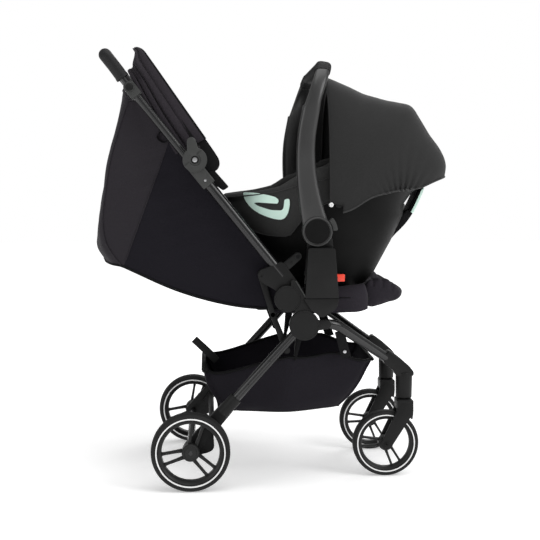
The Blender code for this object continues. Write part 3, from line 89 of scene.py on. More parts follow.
def ahead(x, y, z):
    """A point x ahead of the rear axle, y to the left of the middle and z above the floor."""
    return Vector((AXLE_X + x, y, z))


def side_place(point):
    """A point's place in the side view: how far ahead of the axle it is and how high."""
    return point.x - AXLE_X, point.z


def span(side, near, far, y=0):
    """The lower and the higher of two places across the chair, counted from y towards a side."""
    return sorted((y + side * near, y + side * far))


FOLD_PIVOT, LEG_PIVOT = (0.213, 0.425), (0.25, 0.367)
LINK_TOP, LINK_BOTTOM = (0.157, 0.474), (0.214, 0.306)
HOOD_PIVOT, HANDLE_PIVOT = (0.013, 0.727), (-0.126, 0.882)
BACK_PIVOT, LEG_REST_PIVOT = (0.155, 0.412), (0.402, 0.413)
BUMPER_HOLE, HUB = (0.237, 0.517), (0.279, 0.572)
CASTOR_X, CASTOR_Y, CASTOR_TRAIL = 0.4915, 0.126, 0.042
REAR_R, REAR_W, REAR_Y = 0.0875, 0.035, 0.2345
FRONT_R, FRONT_W = 0.0765, 0.028
TUBE_Y, LINK_Y, CASTING_Y, CASTING_W = 0.2185, 0.2025, 0.2325, 0.012
TUBE_WAY = Vector((-0.628, 0, 0.778)).normalized()
TUBE_SIDE = Vector((TUBE_WAY.z, 0, -TUBE_WAY.x))


def on_tube(reach, y=TUBE_Y, off=0):
    """A point on the handle tube's line: reach above its foot, off towards its front."""
    return ahead(0.204, y, 0.474) + TUBE_WAY * reach + TUBE_SIDE * off


COLLAR_REACH = (ahead(HANDLE_PIVOT[0], 0, HANDLE_PIVOT[1]) - on_tube(0, 0)).dot(TUBE_WAY)
print("the handle knuckle sits", round(COLLAR_REACH, 3), "m up the tube")

# %% [markdown]
# The photograph is taken from the chair's right side, a little above the seat, with a long lens that
# turns slightly towards the front wheels. The studio is a white room: a large soft light above, one to
# the right that draws the bright line on each tube, a weaker one from the left, and a pale floor.

# %% Camera, floor and lights
camera_data = bpy.data.cameras.new("camera")
camera_data.lens, camera_data.sensor_width = 73.34, 36
camera = bpy.data.objects.new("camera", camera_data)
camera.location = ahead(0.0382, -2.6205, 0.6897)
camera.rotation_euler = (pi / 2 - 0.0841, 0, -0.0573)
bpy.context.collection.objects.link(camera)
bpy.context.scene.camera = camera
bpy.context.scene.view_settings.view_transform = "Standard"


def soft_light(name, place, target, size, power):
    """A square soft box that looks at a point of the chair."""
    data = bpy.data.lights.new(name, "AREA")
    data.shape, data.size, data.energy = "SQUARE", size, power
    lamp = bpy.data.objects.new(name, data)
    lamp.location = place
    lamp.rotation_euler = (Vector(target) - Vector(place)).to_track_quat("-Z", "Y").to_euler()
    bpy.context.collection.objects.link(lamp)
    return lamp


soft_light("top_box", (0.2, -0.3, 3.2), (0, 0, 0.3), 2.6, 42)
soft_light("right_box", (2.3, -1.7, 2), (0, 0, 0.5), 1.6, 38)
soft_light("left_box", (-2.6, -1.9, 1.4), (0, 0, 0.5), 1.8, 20)
soft_light("back_box", (1.2, 2.4, 2.2), (0, 0, 0.6), 1.6, 26)


def feed(tree, node, inputs):
    """Set a node's inputs from a dictionary: plain values are dialled in and sockets are linked."""
    for key, value in inputs.items():
        if isinstance(value, bpy.types.NodeSocket):
            tree.links.new(value, node.inputs[key])
        else:
            node.inputs[key].default_value = value


def new_node(tree, kind, inputs, **settings):
    """A new shader node with its settings and inputs."""
    node = tree.nodes.new("ShaderNode" + kind)
    for name, value in settings.items():
        setattr(node, name, value)
    feed(tree, node, inputs)
    return node


WHITE = (1, 1, 1, 1)
world = bpy.data.worlds.new("studio")
world.use_nodes = True
sky = world.node_tree
room = sky.nodes["Background"]
feed(sky, room, {"Strength": 0.42, "Color": WHITE})
wall = new_node(sky, "Background", {"Strength": 1, "Color": WHITE})
seen = new_node(sky, "LightPath", {}).outputs["Is Camera Ray"]
choose = new_node(sky, "MixShader", {0: seen, 1: room.outputs[0], 2: wall.outputs[0]})
feed(sky, sky.nodes["World Output"], {"Surface": choose.outputs[0]})
bpy.context.scene.world = world

floor_shape = bmesh.new()
bmesh.ops.create_grid(floor_shape, x_segments=2, y_segments=2, size=9)
floor_mesh = bpy.data.meshes.new("floor")
floor_shape.to_mesh(floor_mesh)
floor_shape.free()
floor_paint = bpy.data.materials.new("floor_paper")
floor_paint.use_nodes = True
paper = floor_paint.node_tree
place = new_node(paper, "TexCoord", {}).outputs["Object"]
away = new_node(paper, "VectorMath", {0: place}, operation="LENGTH")
glow = new_node(paper, "MapRange", {"Value": away.outputs["Value"], "From Min": 0.8, "From Max": 2.6,
                                    "To Min": 0.34, "To Max": 0.75})
feed(paper, paper.nodes["Principled BSDF"], {
    "Base Color": (0.93, 0.93, 0.93, 1), "Roughness": 0.9, "Specular IOR Level": 0, "Emission Color": WHITE,
    "Emission Strength": glow.outputs["Result"]})
floor_mesh.materials.append(floor_paint)
floor = bpy.data.objects.new("floor", floor_mesh)
bpy.context.collection.objects.link(floor)
print("camera", tuple(round(c, 3) for c in camera.location), "lights: 4")

# %% [markdown]
# Three effects come back in nearly every finish, so each is a node group with named inputs.
# *Moulded grain* is the fine leathery texture of sprayed plastic. *Woven cloth* crosses three sets of
# threads, so it works on panels that face any way. *Handled edges* is a slow cloud that makes a finish a
# little smoother where hands and dust have been, because nothing real is evenly dull.

# %% Node groups


def group_with(name, inputs, outputs):
    """An empty shader group with number inputs, a Vector input and number outputs."""
    group = bpy.data.node_groups.new(name, "ShaderNodeTree")
    group.interface.new_socket("Vector", in_out="INPUT", socket_type="NodeSocketVector")
    for label, value in inputs:
        group.interface.new_socket(label, in_out="INPUT", socket_type="NodeSocketFloat").default_value = value
    for label in outputs:
        group.interface.new_socket(label, in_out="OUTPUT", socket_type="NodeSocketFloat")
    return group, group.nodes.new("NodeGroupInput"), group.nodes.new("NodeGroupOutput")


def math_node(tree, operation, first, second):
    """A math node whose two inputs are sockets or plain numbers."""
    return new_node(tree, "Math", {0: first, 1: second}, operation=operation).outputs[0]


grain_group, start, end = group_with("Moulded grain", (("Scale", 900),), ("Height", "Cloud"))
vector, scale = start.outputs["Vector"], start.outputs["Scale"]
pebble = new_node(grain_group, "TexVoronoi", {"Vector": vector, "Scale": scale}, feature="SMOOTH_F1")
dust_scale = math_node(grain_group, "MULTIPLY", scale, 2.3)
dust = new_node(grain_group, "TexNoise", {"Vector": vector, "Scale": dust_scale, "Detail": 3})
cloud = new_node(grain_group, "TexNoise", {"Vector": vector, "Scale": 14})
most_pebble = math_node(grain_group, "MULTIPLY", pebble.outputs["Distance"], 0.7)
some_dust = math_node(grain_group, "MULTIPLY", dust.outputs["Fac"], 0.3)
height = math_node(grain_group, "ADD", most_pebble, some_dust)
feed(grain_group, end, {"Height": height, "Cloud": cloud.outputs["Fac"]})

weave_inputs = (("Threads", 330), ("Fuzz", 0.3))
weave_group, start, end = group_with("Woven cloth", weave_inputs, ("Height", "Melange"))
vector = start.outputs["Vector"]
threads = [new_node(weave_group, "TexWave", {"Vector": vector, "Scale": start.outputs["Threads"],
                                             "Distortion": 0.6, "Detail Scale": 3},
                    bands_direction=direction).outputs["Fac"] for direction in "XYZ"]
fuzz = new_node(weave_group, "TexNoise", {"Vector": vector, "Scale": 1400})
melange = new_node(weave_group, "TexNoise", {"Vector": vector, "Scale": 620, "Detail": 4})
two_ways = math_node(weave_group, "ADD", threads[0], threads[1])
crossed = math_node(weave_group, "ADD", two_ways, threads[2])
fuzzy = math_node(weave_group, "MULTIPLY", fuzz.outputs["Fac"], start.outputs["Fuzz"])
height = math_node(weave_group, "ADD", math_node(weave_group, "MULTIPLY", crossed, 0.33), fuzzy)
feed(weave_group, end, {"Height": height, "Melange": melange.outputs["Fac"]})

edge_group, start, end = group_with("Handled edges", (("Least", 0.4), ("Most", 0.6)), ("Roughness",))
patches = new_node(edge_group, "TexNoise", {"Vector": start.outputs["Vector"], "Scale": 9, "Detail": 5})
spread = new_node(edge_group, "MapRange", {
    "Value": patches.outputs["Fac"], "From Min": 0.3, "From Max": 0.7, "To Min": start.outputs["Least"],
    "To Max": start.outputs["Most"]})
feed(edge_group, end, {"Roughness": spread.outputs["Result"]})
print("node groups:", [g.name for g in bpy.data.node_groups])

# %% [markdown]
# Every finish on this chair is nearly black, and what tells them apart is how they give light back:
# satin paint draws a sharp line along a tube, moulded plastic glows softly, cloth stays flat and dark.
# So a finish here is a dark colour, a second colour for its slow variation, a roughness range, how much
# it mirrors, and either a moulded grain or a weave for its bump.

# %% Finishes


PATCH_LOW, PATCH_HIGH = 0.325, 0.675


def tint(colour):
    """A colour with its alpha; a single number stands for a grey."""
    return (*colour, 1) if isinstance(colour, tuple) else (colour, colour, colour, 1)


def finish(name, dark, light, rough, mirror=0.3, metal=0, grain=0, weave=0, depth=0.00015, sheen=0):
    """A Principled finish with two colours and a grain or a weave."""
    made = bpy.data.materials.new(name)
    made.use_nodes = True
    tree = made.node_tree
    place = new_node(tree, "TexCoord", {}).outputs["Object"]
    texture = new_node(tree, "Group", {"Vector": place, 1: weave or grain or 700},
                       node_tree=weave_group if weave else grain_group)
    worn = new_node(tree, "Group", {"Vector": place, "Least": rough[0], "Most": rough[1]},
                    node_tree=edge_group)
    spread = new_node(tree, "MapRange", {"Value": texture.outputs[1], "From Min": PATCH_LOW,
                                         "From Max": PATCH_HIGH})
    blend = new_node(tree, "Mix", {"Factor": spread.outputs["Result"], "A": tint(dark), "B": tint(light)},
                     data_type="RGBA")
    bump = new_node(tree, "Bump", {"Height": texture.outputs["Height"], "Distance": depth, "Strength": 0.7})
    feed(tree, tree.nodes["Principled BSDF"], {
        "Base Color": blend.outputs["Result"], "Metallic": metal, "Roughness": worn.outputs["Roughness"],
        "Specular IOR Level": mirror, "Sheen Weight": sheen, "Sheen Roughness": 0.5,
        "Normal": bump.outputs["Normal"]})
    return made


TUBE_PAINT = finish("black_tube_paint", (0.004, 0.004, 0.0043), (0.007, 0.007, 0.0075),
                    (0.19, 0.27), mirror=0.52, grain=1500, depth=0.00003)
CASTING = finish("moulded_casting", 0.0055, 0.0085, (0.42, 0.56), mirror=0.2, grain=1100,
                 depth=0.00006)
GREY_TRIM = finish("grey_trim_plastic", (0.026, 0.027, 0.026), (0.036, 0.037, 0.036),
                   (0.42, 0.55), mirror=0.34, grain=1100, depth=0.00006)
HANDLE_SKIN = finish("carry_handle_plastic", 0.014, 0.02, (0.3, 0.38), mirror=0.6,
                     grain=1300, depth=0.00004)
SHELL_PLASTIC = finish("carrier_shell_plastic", 0.0035, 0.0055, (0.5, 0.62), mirror=0.09,
                       grain=1000, depth=0.00006)
TYRE_RUBBER = finish("tyre_rubber", 0.009, 0.014, (0.62, 0.78), mirror=0.25, grain=1600,
                     depth=0.00005)
RIM_PLASTIC = finish("rim_plastic", 0.008, 0.012, (0.36, 0.5), mirror=0.28, grain=1200,
                     depth=0.00004)
RING_WHITE = finish("reflective_ring", 0.8, 0.9, (0.28, 0.36), mirror=0.5, grain=1800, depth=0.00002)
GRIP_SKIN = finish("stitched_grip_skin", (0.007, 0.007, 0.0075), (0.011, 0.011, 0.0115),
                   (0.5, 0.66), mirror=0.22, grain=620, depth=0.00018)
STEEL = finish("rivet_steel", (0.36, 0.36, 0.37), (0.48, 0.48, 0.49), (0.22, 0.34),
               mirror=0.5, metal=1, grain=1500, depth=0.00002)
SIDE_CLOTH = finish("side_panel_cloth", (0.0085, 0.0078, 0.0105), (0.0125, 0.0115, 0.015),
                    (0.8, 0.92), mirror=0.05, weave=300, depth=0.00016, sheen=0.02)
REAR_CLOTH = finish("rear_panel_cloth", (0.018, 0.016, 0.019), (0.025, 0.0225, 0.0265),
                    (0.78, 0.9), mirror=0.07, weave=300, depth=0.00016, sheen=0.04)
HOOD_CLOTH = finish("hood_cloth", (0.023, 0.02, 0.024), (0.031, 0.027, 0.032), (0.78, 0.9),
                    mirror=0.07, weave=300, depth=0.00016, sheen=0.04)
SEAT_CLOTH = finish("seat_cloth", (0.02, 0.0175, 0.022), (0.027, 0.024, 0.03), (0.78, 0.9),
                    mirror=0.06, weave=280, depth=0.00018, sheen=0.03)
BASKET_CLOTH = finish("basket_cloth", (0.011, 0.0098, 0.013), (0.0155, 0.014, 0.018),
                      (0.78, 0.9), mirror=0.06, weave=260, depth=0.0002, sheen=0.03)
CARRIER_CLOTH = finish("carrier_cover_cloth", (0.032, 0.032, 0.0315), (0.043, 0.043, 0.0425),
                       (0.78, 0.9), mirror=0.07, weave=360, depth=0.00014, sheen=0.04)
CANOPY_CLOTH = finish("canopy_cloth", 0.018, 0.025, (0.72, 0.84), mirror=0.1, weave=360,
                      depth=0.00014, sheen=0.05)
BINDING = finish("black_binding", (0.004, 0.004, 0.0045), (0.007, 0.007, 0.0075),
                 (0.6, 0.75), mirror=0.1, weave=420, depth=0.0002)
PIPING = finish("seam_piping", 0.03, 0.042, (0.6, 0.75), mirror=0.15, weave=500,
                depth=0.0001)
MINT = finish("mint_plastic", (0.64, 0.86, 0.76), (0.69, 0.9, 0.8), (0.42, 0.52), mirror=0.3,
              grain=1200, depth=0.00003)
RED = finish("red_plastic", (0.78, 0.04, 0.02), (0.86, 0.062, 0.03), (0.3, 0.4), mirror=0.45,
             grain=1200, depth=0.00003)
print("finishes:", len(bpy.data.materials) - 1)

# %% [markdown]
# A handful of tools make nearly every piece. `piece` turns a bmesh into a finished object and ties it to
# its moving body. `slab` is the castings' tool: an outline is filled, extruded across the chair, and its
# corners and rims are bevelled. `belt` wraps two circles in one convex plate, `round_bar` and `turn` make
# round things, `rod` sweeps a circle along a path, `loft` bridges rings, and `drape` bends a grid over a
# formula.

# %% Shape tools


SAME_PLACE = 2e-6


def face_out(shape):
    """Turn every face of a closed shape outwards."""
    bmesh.ops.recalc_face_normals(shape, faces=shape.faces)


def close_holes(shape, edges):
    """Fill each hole that the edges run round."""
    bmesh.ops.holes_fill(shape, edges=edges, sides=0)


def piece(name, shape, material, body, replaces=(), smooth=32):
    """Finish a bmesh as one named object with its finish, which rides on a body."""
    bmesh.ops.remove_doubles(shape, verts=shape.verts, dist=SAME_PLACE)
    face_out(shape)
    mesh = bpy.data.meshes.new(name)
    shape.to_mesh(mesh)
    shape.free()
    mesh.materials.append(material)
    mesh.shade_smooth()
    mesh.set_sharp_from_angle(angle=radians(smooth))
    made = bpy.data.objects.new(name, mesh)
    bpy.context.collection.objects.link(made)
    if body:
        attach(made, body)
    if replaces:
        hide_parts(*replaces)
    print(name, len(mesh.polygons), "faces")
    return made


def cloth_wall(made, thickness, offset=-1):
    """Give a cloth its thickness; an offset of -1 lays it all on the inner side."""
    wall_of = made.modifiers.new("cloth", "SOLIDIFY")
    wall_of.thickness, wall_of.offset = thickness, offset


def add(whole, *others):
    """Put other bmeshes into the first one."""
    for other in others:
        mesh = bpy.data.meshes.new("part")
        other.to_mesh(mesh)
        other.free()
        whole.from_mesh(mesh)
        bpy.data.meshes.remove(mesh)
    return whole


def bevel(shape, edges, offset, segments=2):
    """Round some edges over."""
    bmesh.ops.bevel(shape, geom=edges, offset=offset, offset_type="OFFSET", segments=segments, profile=0.5,
                    affect="EDGES", clamp_overlap=True, material=-1)


def rims_of(shape, angle=0.6):
    """Edges where two faces meet at a clear corner."""
    return [e for e in shape.edges if len(e.link_faces) == 2 and e.calc_face_angle(0) > angle]


def extrude(shape, face, way, keep=False):
    """Extrude a face and move what grew; keep leaves the first face in place."""
    grown = bmesh.ops.extrude_face_region(shape, geom=[face], use_keep_orig=keep)["geom"]
    bmesh.ops.translate(shape, verts=[g for g in grown if isinstance(g, bmesh.types.BMVert)], vec=way)


def ring_of(shape, points):
    """A closed ring of edges through points."""
    verts = [shape.verts.new(p) for p in points]
    return [shape.edges.new(pair) for pair in zip(verts, verts[1:] + verts[:1])]


def loft(shape, loops, caps=True):
    """Bridge each ring to the next one; caps close the first and the last."""
    for low, high in zip(loops, loops[1:]):
        bmesh.ops.bridge_loops(shape, edges=low + high)
    if caps:
        close_holes(shape, loops[0] + loops[-1])
    return shape


def slab(outline, y_a, y_b, corner=0, edge=0.0008, segments=4, steps=2):
    """A casting from its side-view outline: fill, extrude across the chair, round corners and rims."""
    shape = bmesh.new()
    verts = [shape.verts.new(ahead(x, y_a, z)) for x, z in outline]
    face = shape.faces.new(verts)
    extrude(shape, face, (0, y_b - y_a, 0), keep=True)
    face_out(shape)
    sizes = corner if isinstance(corner, (list, tuple)) else [corner] * len(outline)
    posts = [next(e for e in v.link_edges if abs(e.other_vert(v).co.y - v.co.y) > 1e-6) for v in verts]
    for size in sorted(set(sizes)):
        if size > 0:
            bevel(shape, [p for p, s in zip(posts, sizes) if s == size and p.is_valid], size, segments)
    if edge:
        bevel(shape, rims_of(shape), edge, steps)
    return shape


def round_bar(centre, radius, y_a, y_b, edge=0.0008, sides=40, far=None):
    """A short bar or disc across the chair, with rounded rims."""
    shape = bmesh.new()
    middle = ahead(centre[0], (y_a + y_b) / 2, centre[1])
    turned = Matrix.Translation(middle) @ Matrix.Rotation(-pi / 2, 4, "X")
    bmesh.ops.create_cone(shape, cap_ends=True, segments=sides, radius1=radius, radius2=far or radius,
                          depth=y_b - y_a, matrix=turned)
    face_out(shape)
    if edge:
        bevel(shape, rims_of(shape), edge, 2)
    return shape


def belt(first, first_r, second, second_r, y_a, y_b, edge=0.001, sides=32):
    """A plate round two circles, as a belt runs round two pulleys."""
    shape = bmesh.new()
    for centre, radius in ((first, first_r), (second, second_r)):
        for y in (y_a, y_b):
            matrix = Matrix.Translation(ahead(centre[0], y, centre[1])) @ Matrix.Rotation(pi / 2, 4, "X")
            bmesh.ops.create_circle(shape, segments=sides, radius=radius, matrix=matrix)
    hull = bmesh.ops.convex_hull(shape, input=shape.verts)
    loose = [g for g in hull["geom_interior"] + hull["geom_unused"] if isinstance(g, bmesh.types.BMVert)]
    bmesh.ops.delete(shape, geom=list(set(loose)), context="VERTS")
    bmesh.ops.dissolve_limit(shape, angle_limit=radians(0.5), verts=shape.verts, edges=shape.edges)
    face_out(shape)
    if edge:
        bevel(shape, rims_of(shape), edge, 2)
    return shape


def turn(profile, centre, steps=64):
    """Spin a closed line of (radius, y) pairs about an axis across the chair."""
    shape = bmesh.new()
    edges = ring_of(shape, [ahead(centre[0], y, centre[1] + r) for r, y in profile])
    bmesh.ops.spin(shape, geom=shape.verts[:] + edges, cent=ahead(centre[0], 0, centre[1]), axis=(0, 1, 0),
                   angle=2 * pi, steps=steps, use_merge=True)
    bmesh.ops.remove_doubles(shape, verts=shape.verts, dist=SAME_PLACE)
    bmesh.ops.dissolve_degenerate(shape, edges=shape.edges, dist=1e-7)
    face_out(shape)
    return shape


def turn_out(profile, y, side, centre, steps):
    """Spin a closed line of (radius, outwards) pairs, counted from y towards a side."""
    return turn([(r, y + side * out) for r, out in profile], centre, steps)


def bend_path(points, radius, steps=6):
    """Straight runs joined by round bends."""
    points = [Vector(p) for p in points]
    path = [points[0]]
    for before, here, after in zip(points, points[1:], points[2:]):
        back = min(radius, (before - here).length * 0.48, (after - here).length * 0.48)
        first, last = here + (before - here).normalized() * back, here + (after - here).normalized() * back
        for k in range(steps + 1):
            t = k / steps
            path.append((1 - t) ** 2 * first + 2 * t * (1 - t) * here + t ** 2 * last)
    return path + [points[-1]]


def smooth_between(a, b, c, d, t):
    """The point a share t of the way from b to c, on the smooth curve through a, b, c and d."""
    return 0.5 * (2 * b + (c - a) * t + (2 * a - 5 * b + 4 * c - d) * t ** 2
                  + (3 * b - a - 3 * c + d) * t ** 3)


def curve_through(points, steps=6):
    """A smooth curve through points of any number of coordinates."""
    knots = [Vector(p) for p in points]
    knots = [knots[0] * 2 - knots[1]] + knots + [knots[-1] * 2 - knots[-2]]
    path = []
    for a, b, c, d in zip(knots, knots[1:], knots[2:], knots[3:]):
        path += [smooth_between(a, b, c, d, k / steps) for k in range(steps)]
    return path + [knots[-2]]


def rod(path, radius, sides=20, bore=0, flat=1):
    """A round bar swept along a path; a bore makes it a tube and flat squeezes it across the path's bend."""
    shape = bmesh.new()
    points = [Vector(p) for p in path]
    ways = [(b - a).normalized() for a, b in zip(points[:1] + points, points[1:] + points[-1:])]
    side = Vector((0, 1, 0)) if abs(ways[0].y) < 0.9 else Vector((0, 0, 1))
    walls = []
    for size in ([radius, bore] if bore else [radius]):
        carried, before, loops = side.copy(), ways[0], []
        for i, (point, way) in enumerate(zip(points, ways)):
            carried = before.rotation_difference(way) @ carried
            before = way
            across = (carried - way * carried.dot(way)).normalized()
            other = way.cross(across)
            step = 1
            if 0 < i < len(points) - 1:
                step = 1 / max(way.dot((points[i + 1] - points[i]).normalized()), 0.6)
            basis = Matrix((across * step, other * flat * step, way)).transposed().to_4x4()
            matrix = Matrix.Translation(point) @ basis
            ring = bmesh.ops.create_circle(shape, segments=sides, radius=size, matrix=matrix)["verts"]
            loops.append(list({e for v in ring for e in v.link_edges}))
        loft(shape, loops, caps=False)
        walls.append(loops)
    if bore:
        for end_of in (0, -1):
            bmesh.ops.bridge_loops(shape, edges=walls[0][end_of] + walls[1][end_of])
    else:
        close_holes(shape, walls[0][0] + walls[0][-1])
    face_out(shape)
    return shape


def bell(x, centre, width, power=2):
    """1 at the centre, falling smoothly to 0 over a few widths."""
    return 2.718 ** (-abs((x - centre) / width) ** power)


def squarish(c, power):
    """A sine or cosine raised to a power with its sign kept, which squares a circle's corners."""
    return abs(c) ** power * (1 if c >= 0 else -1)


def drape(across, along, place):
    """A grid bent so that its point at shares (u, v), each from 0 to 1, lies at place(u, v)."""
    shape = bmesh.new()
    bmesh.ops.create_grid(shape, x_segments=across, y_segments=along, size=0.5)
    for vert in shape.verts:
        vert.co = place(min(max(vert.co.x + 0.5, 0), 1), min(max(vert.co.y + 0.5, 0), 1))
    bmesh.ops.remove_doubles(shape, verts=shape.verts, dist=1e-5)
    return shape


def rivet(centre, y, out, radius=0.0032, height=0.0012):
    """A domed rivet head on a face that looks along out."""
    return round_bar(centre, radius, *span(out, -0.0006, height, y), edge=height * 0.6, sides=20)


def screw(centre, y, out, radius=0.0042):
    """A socket screw: a round head with a round pit in its face."""
    head = round_bar(centre, radius, *span(out, -0.0006, 0.0016, y), 0.0005, 24)
    caps = [f for f in head.faces if f.normal.y * out > 0.9]
    wide = max(caps, key=lambda f: f.calc_area())
    bmesh.ops.inset_region(head, faces=[wide], thickness=radius * 0.42)
    extrude(head, wide, (0, -out * 0.001, 0))
    return head


print("shape tools ready")

# %% [markdown]
# A pushchair wheel is a foam or rubber tyre on a moulded rim. The tyre is a profile of radius and width,
# spun about the axle, with two fine grooves round its tread. The white ring is its own thin band, let
# into the side wall. Each of the three spokes is forked: two tapered bars leave the hub together and
# spread towards the rim.

# %% Wheels


def forked_spoke(centre, y, radius, width, angle):
    """One forked spoke: two tapered bars that leave the hub together and spread towards the rim."""
    spoke = bmesh.new()
    for way in (-1, 1):
        bar = []
        for share, mid, half in ((0, 0.088, 0.046), (0.35, 0.108, 0.036), (0.8, 0.132, 0.034),
                                 (1, 0.146, 0.05)):
            along = radius * (0.19 + 0.57 * share)
            bar.append((along, way * radius * mid, radius * half))
        outline = [(r, w + half) for r, w, half in bar] + [(r, w - half) for r, w, half in reversed(bar)]
        c, s = cos(angle), sin(angle)
        outline = [(centre[0] + r * c - w * s, centre[1] + r * s + w * c) for r, w in outline]
        add(spoke, slab(outline, y - width * 0.17, y + width * 0.17, 0, radius * 0.022))
    return spoke


def both_sides(profile, y, half):
    """A closed profile from its one half, given as (radius, share of the half width) pairs."""
    return [(r, y - half * w) for r, w in profile] + [(r, y + half * w) for r, w in reversed(profile)]


def wheel(name, centre, y, radius, width, first_spoke, body, nodes):
    """Tyre, white rings and forked rim of one wheel."""
    half = width / 2
    seat = radius * 0.846
    side = [(seat, 0.7), (radius * 0.868, 0.9), (radius * 0.9, 0.985), (radius * 0.93, 1),
            (radius * 0.962, 0.93), (radius * 0.984, 0.78), (radius * 0.996, 0.56), (radius, 0.4),
            (radius, 0.3), (radius - 0.0013, 0.27), (radius - 0.0013, 0.21), (radius, 0.18)]
    tyre = turn(both_sides(side, y, half), centre, 96)
    piece(f"{name}_tyre", tyre, TYRE_RUBBER, body, (nodes[0],))
    rings = bmesh.new()
    for out in (-1, 1):
        low, high = span(out, half * 0.8, half * 0.965, y)
        add(rings, turn([(radius * 0.846, low), (radius * 0.846, high),
                         (radius * 0.849, high + out * 0.0002), (radius * 0.875, high + out * 0.0002),
                         (radius * 0.878, high), (radius * 0.878, low)], centre, 96))
    piece(f"{name}_ring", rings, RING_WHITE, body)
    lip = [(0.8445, 0.62), (0.838, 0.74), (0.812, 0.76), (0.79, 0.66), (0.765, 0.56), (0.735, 0.52),
           (0.727, 0.4)]
    rim = turn(both_sides([(radius * r, w) for r, w in lip], y, half), centre, 96)
    for k in range(3):
        add(rim, forked_spoke(centre, y, radius, width, radians(first_spoke + 120 * k)))
    hub = [(0, 0.97), (0.095, 0.97), (0.15, 0.93), (0.165, 0.84), (0.205, 0.82), (0.222, 0.72), (0.226, 0.45)]
    add(rim, turn(both_sides([(radius * r, w) for r, w in hub], y, half), centre, 48))
    piece(f"{name}_rim", rim, RIM_PLASTIC, body, (nodes[1],))


REAR_CENTRE = (0, REAR_R)
FRONT_CENTRE = (CASTOR_X - CASTOR_TRAIL, FRONT_R)
for side, tag in SIDES:
    wheel(f"rear_wheel_{tag}", REAR_CENTRE, side * REAR_Y, REAR_R, REAR_W, 75, f"rear_wheel_{tag}",
          (f"rear_tyre_{tag}", f"rear_rim_{tag}"))
    wheel(f"front_wheel_{tag}", FRONT_CENTRE, side * CASTOR_Y, FRONT_R, FRONT_W, 57, f"front_wheel_{tag}",
          (f"front_tyre_{tag}", f"front_rim_{tag}"))

# %% [markdown]
# A castor fork holds its wheel between two arms that lean back, so that the wheel trails behind its
# swivel and turns by itself. Arms and crown are bevelled plates, and the pivot screw is a turned head.

# %% Castor forks and front legs
FORK_IN, FORK_OUT = FRONT_W / 2 + 0.0025, FRONT_W / 2 + 0.009
STEM_Z = 0.181
CROWN = [(0.4735, 0.156), (0.4915, 0.1475), (0.5085, 0.133), (0.511, 0.148), (0.5105, 0.18), (0.473, 0.18)]
for side, tag in SIDES:
    y = side * CASTOR_Y
    fork = slab(CROWN, y - FORK_OUT, y + FORK_OUT, [0.002, 0.012, 0.003, 0.01, 0.004, 0.004], 0.0015)
    for out in (-1, 1):
        arm_y = span(out, FORK_IN, FORK_OUT + 0.0007, y)
        add(fork, belt(FRONT_CENTRE, 0.0128, (CASTOR_X + 0.001, STEM_Z - 0.0265), 0.0185, *arm_y, 0.0014))
        cap_y = span(out, FORK_OUT - 0.001, FORK_OUT + 0.002, y)
        add(fork, round_bar(FRONT_CENTRE, 0.007, *cap_y, edge=0.0008, sides=28))
        add(fork, screw(FRONT_CENTRE, y + out * (FORK_OUT + 0.0018), out, 0.004))
    piece(f"fork_{tag}", fork, CASTING, f"castor_{tag}", (f"castor_fork_{tag}",))

LEG_LINE = {side: bend_path([ahead(0.29, side * TUBE_Y, 0.368), ahead(0.324, side * 0.213, 0.364),
                             ahead(0.425, side * 0.144, 0.2925), ahead(0.4595, side * CASTOR_Y, 0.268)],
                            0.022, 8) for side, _ in SIDES}
KNUCKLE = [(0.4435, 0.285), (0.4555, 0.2935), (0.479, 0.2765), (0.503, 0.2555), (0.513, 0.242),
           (0.5115, 0.2335), (0.472, 0.2335), (0.464, 0.248), (0.443, 0.264)]
for side, tag in SIDES:
    y = side * CASTOR_Y
    tube = rod(LEG_LINE[side], 0.011, 28)
    piece(f"front_leg_tube_{tag}", tube, TUBE_PAINT, "frame", (f"front_leg_{tag}",))
    knuckle = slab(KNUCKLE, y - 0.0165, y + 0.0165, 0.004, 0.0035, 4, 3)
    barrel = bmesh.new()
    bmesh.ops.create_cone(barrel, cap_ends=True, segments=40, radius1=0.0185, radius2=0.0195, depth=0.06,
                          matrix=Matrix.Translation(ahead(CASTOR_X, y, STEM_Z + 0.0008 + 0.03)))
    face_out(barrel)
    bevel(barrel, rims_of(barrel), 0.0022, 3)
    add(knuckle, barrel)
    piece(f"front_knuckle_{tag}", knuckle, CASTING, "frame")

# %% [markdown]
# The side castings stack in layers outside the tubes: a rail, the fold disc, the bigger leg disc and the
# arm that holds the front leg. Seen from the side they are flat discs with a fine raised lip, so each
# disc is turned from a small profile rather than cut from a plain cylinder.

# %% Side castings


def lipped_disc(centre, radius, y_in, y_face, out):
    """A disc with a raised lip and a shallow dished face."""
    steps = ((radius, y_in), (radius, y_face - out * 0.0012), (radius - 0.001, y_face),
             (radius - 0.0028, y_face), (radius - 0.0034, y_face - out * 0.0007), (0, y_face - out * 0.0005),
             (0, y_in))
    return turn(list(steps), centre, 64)


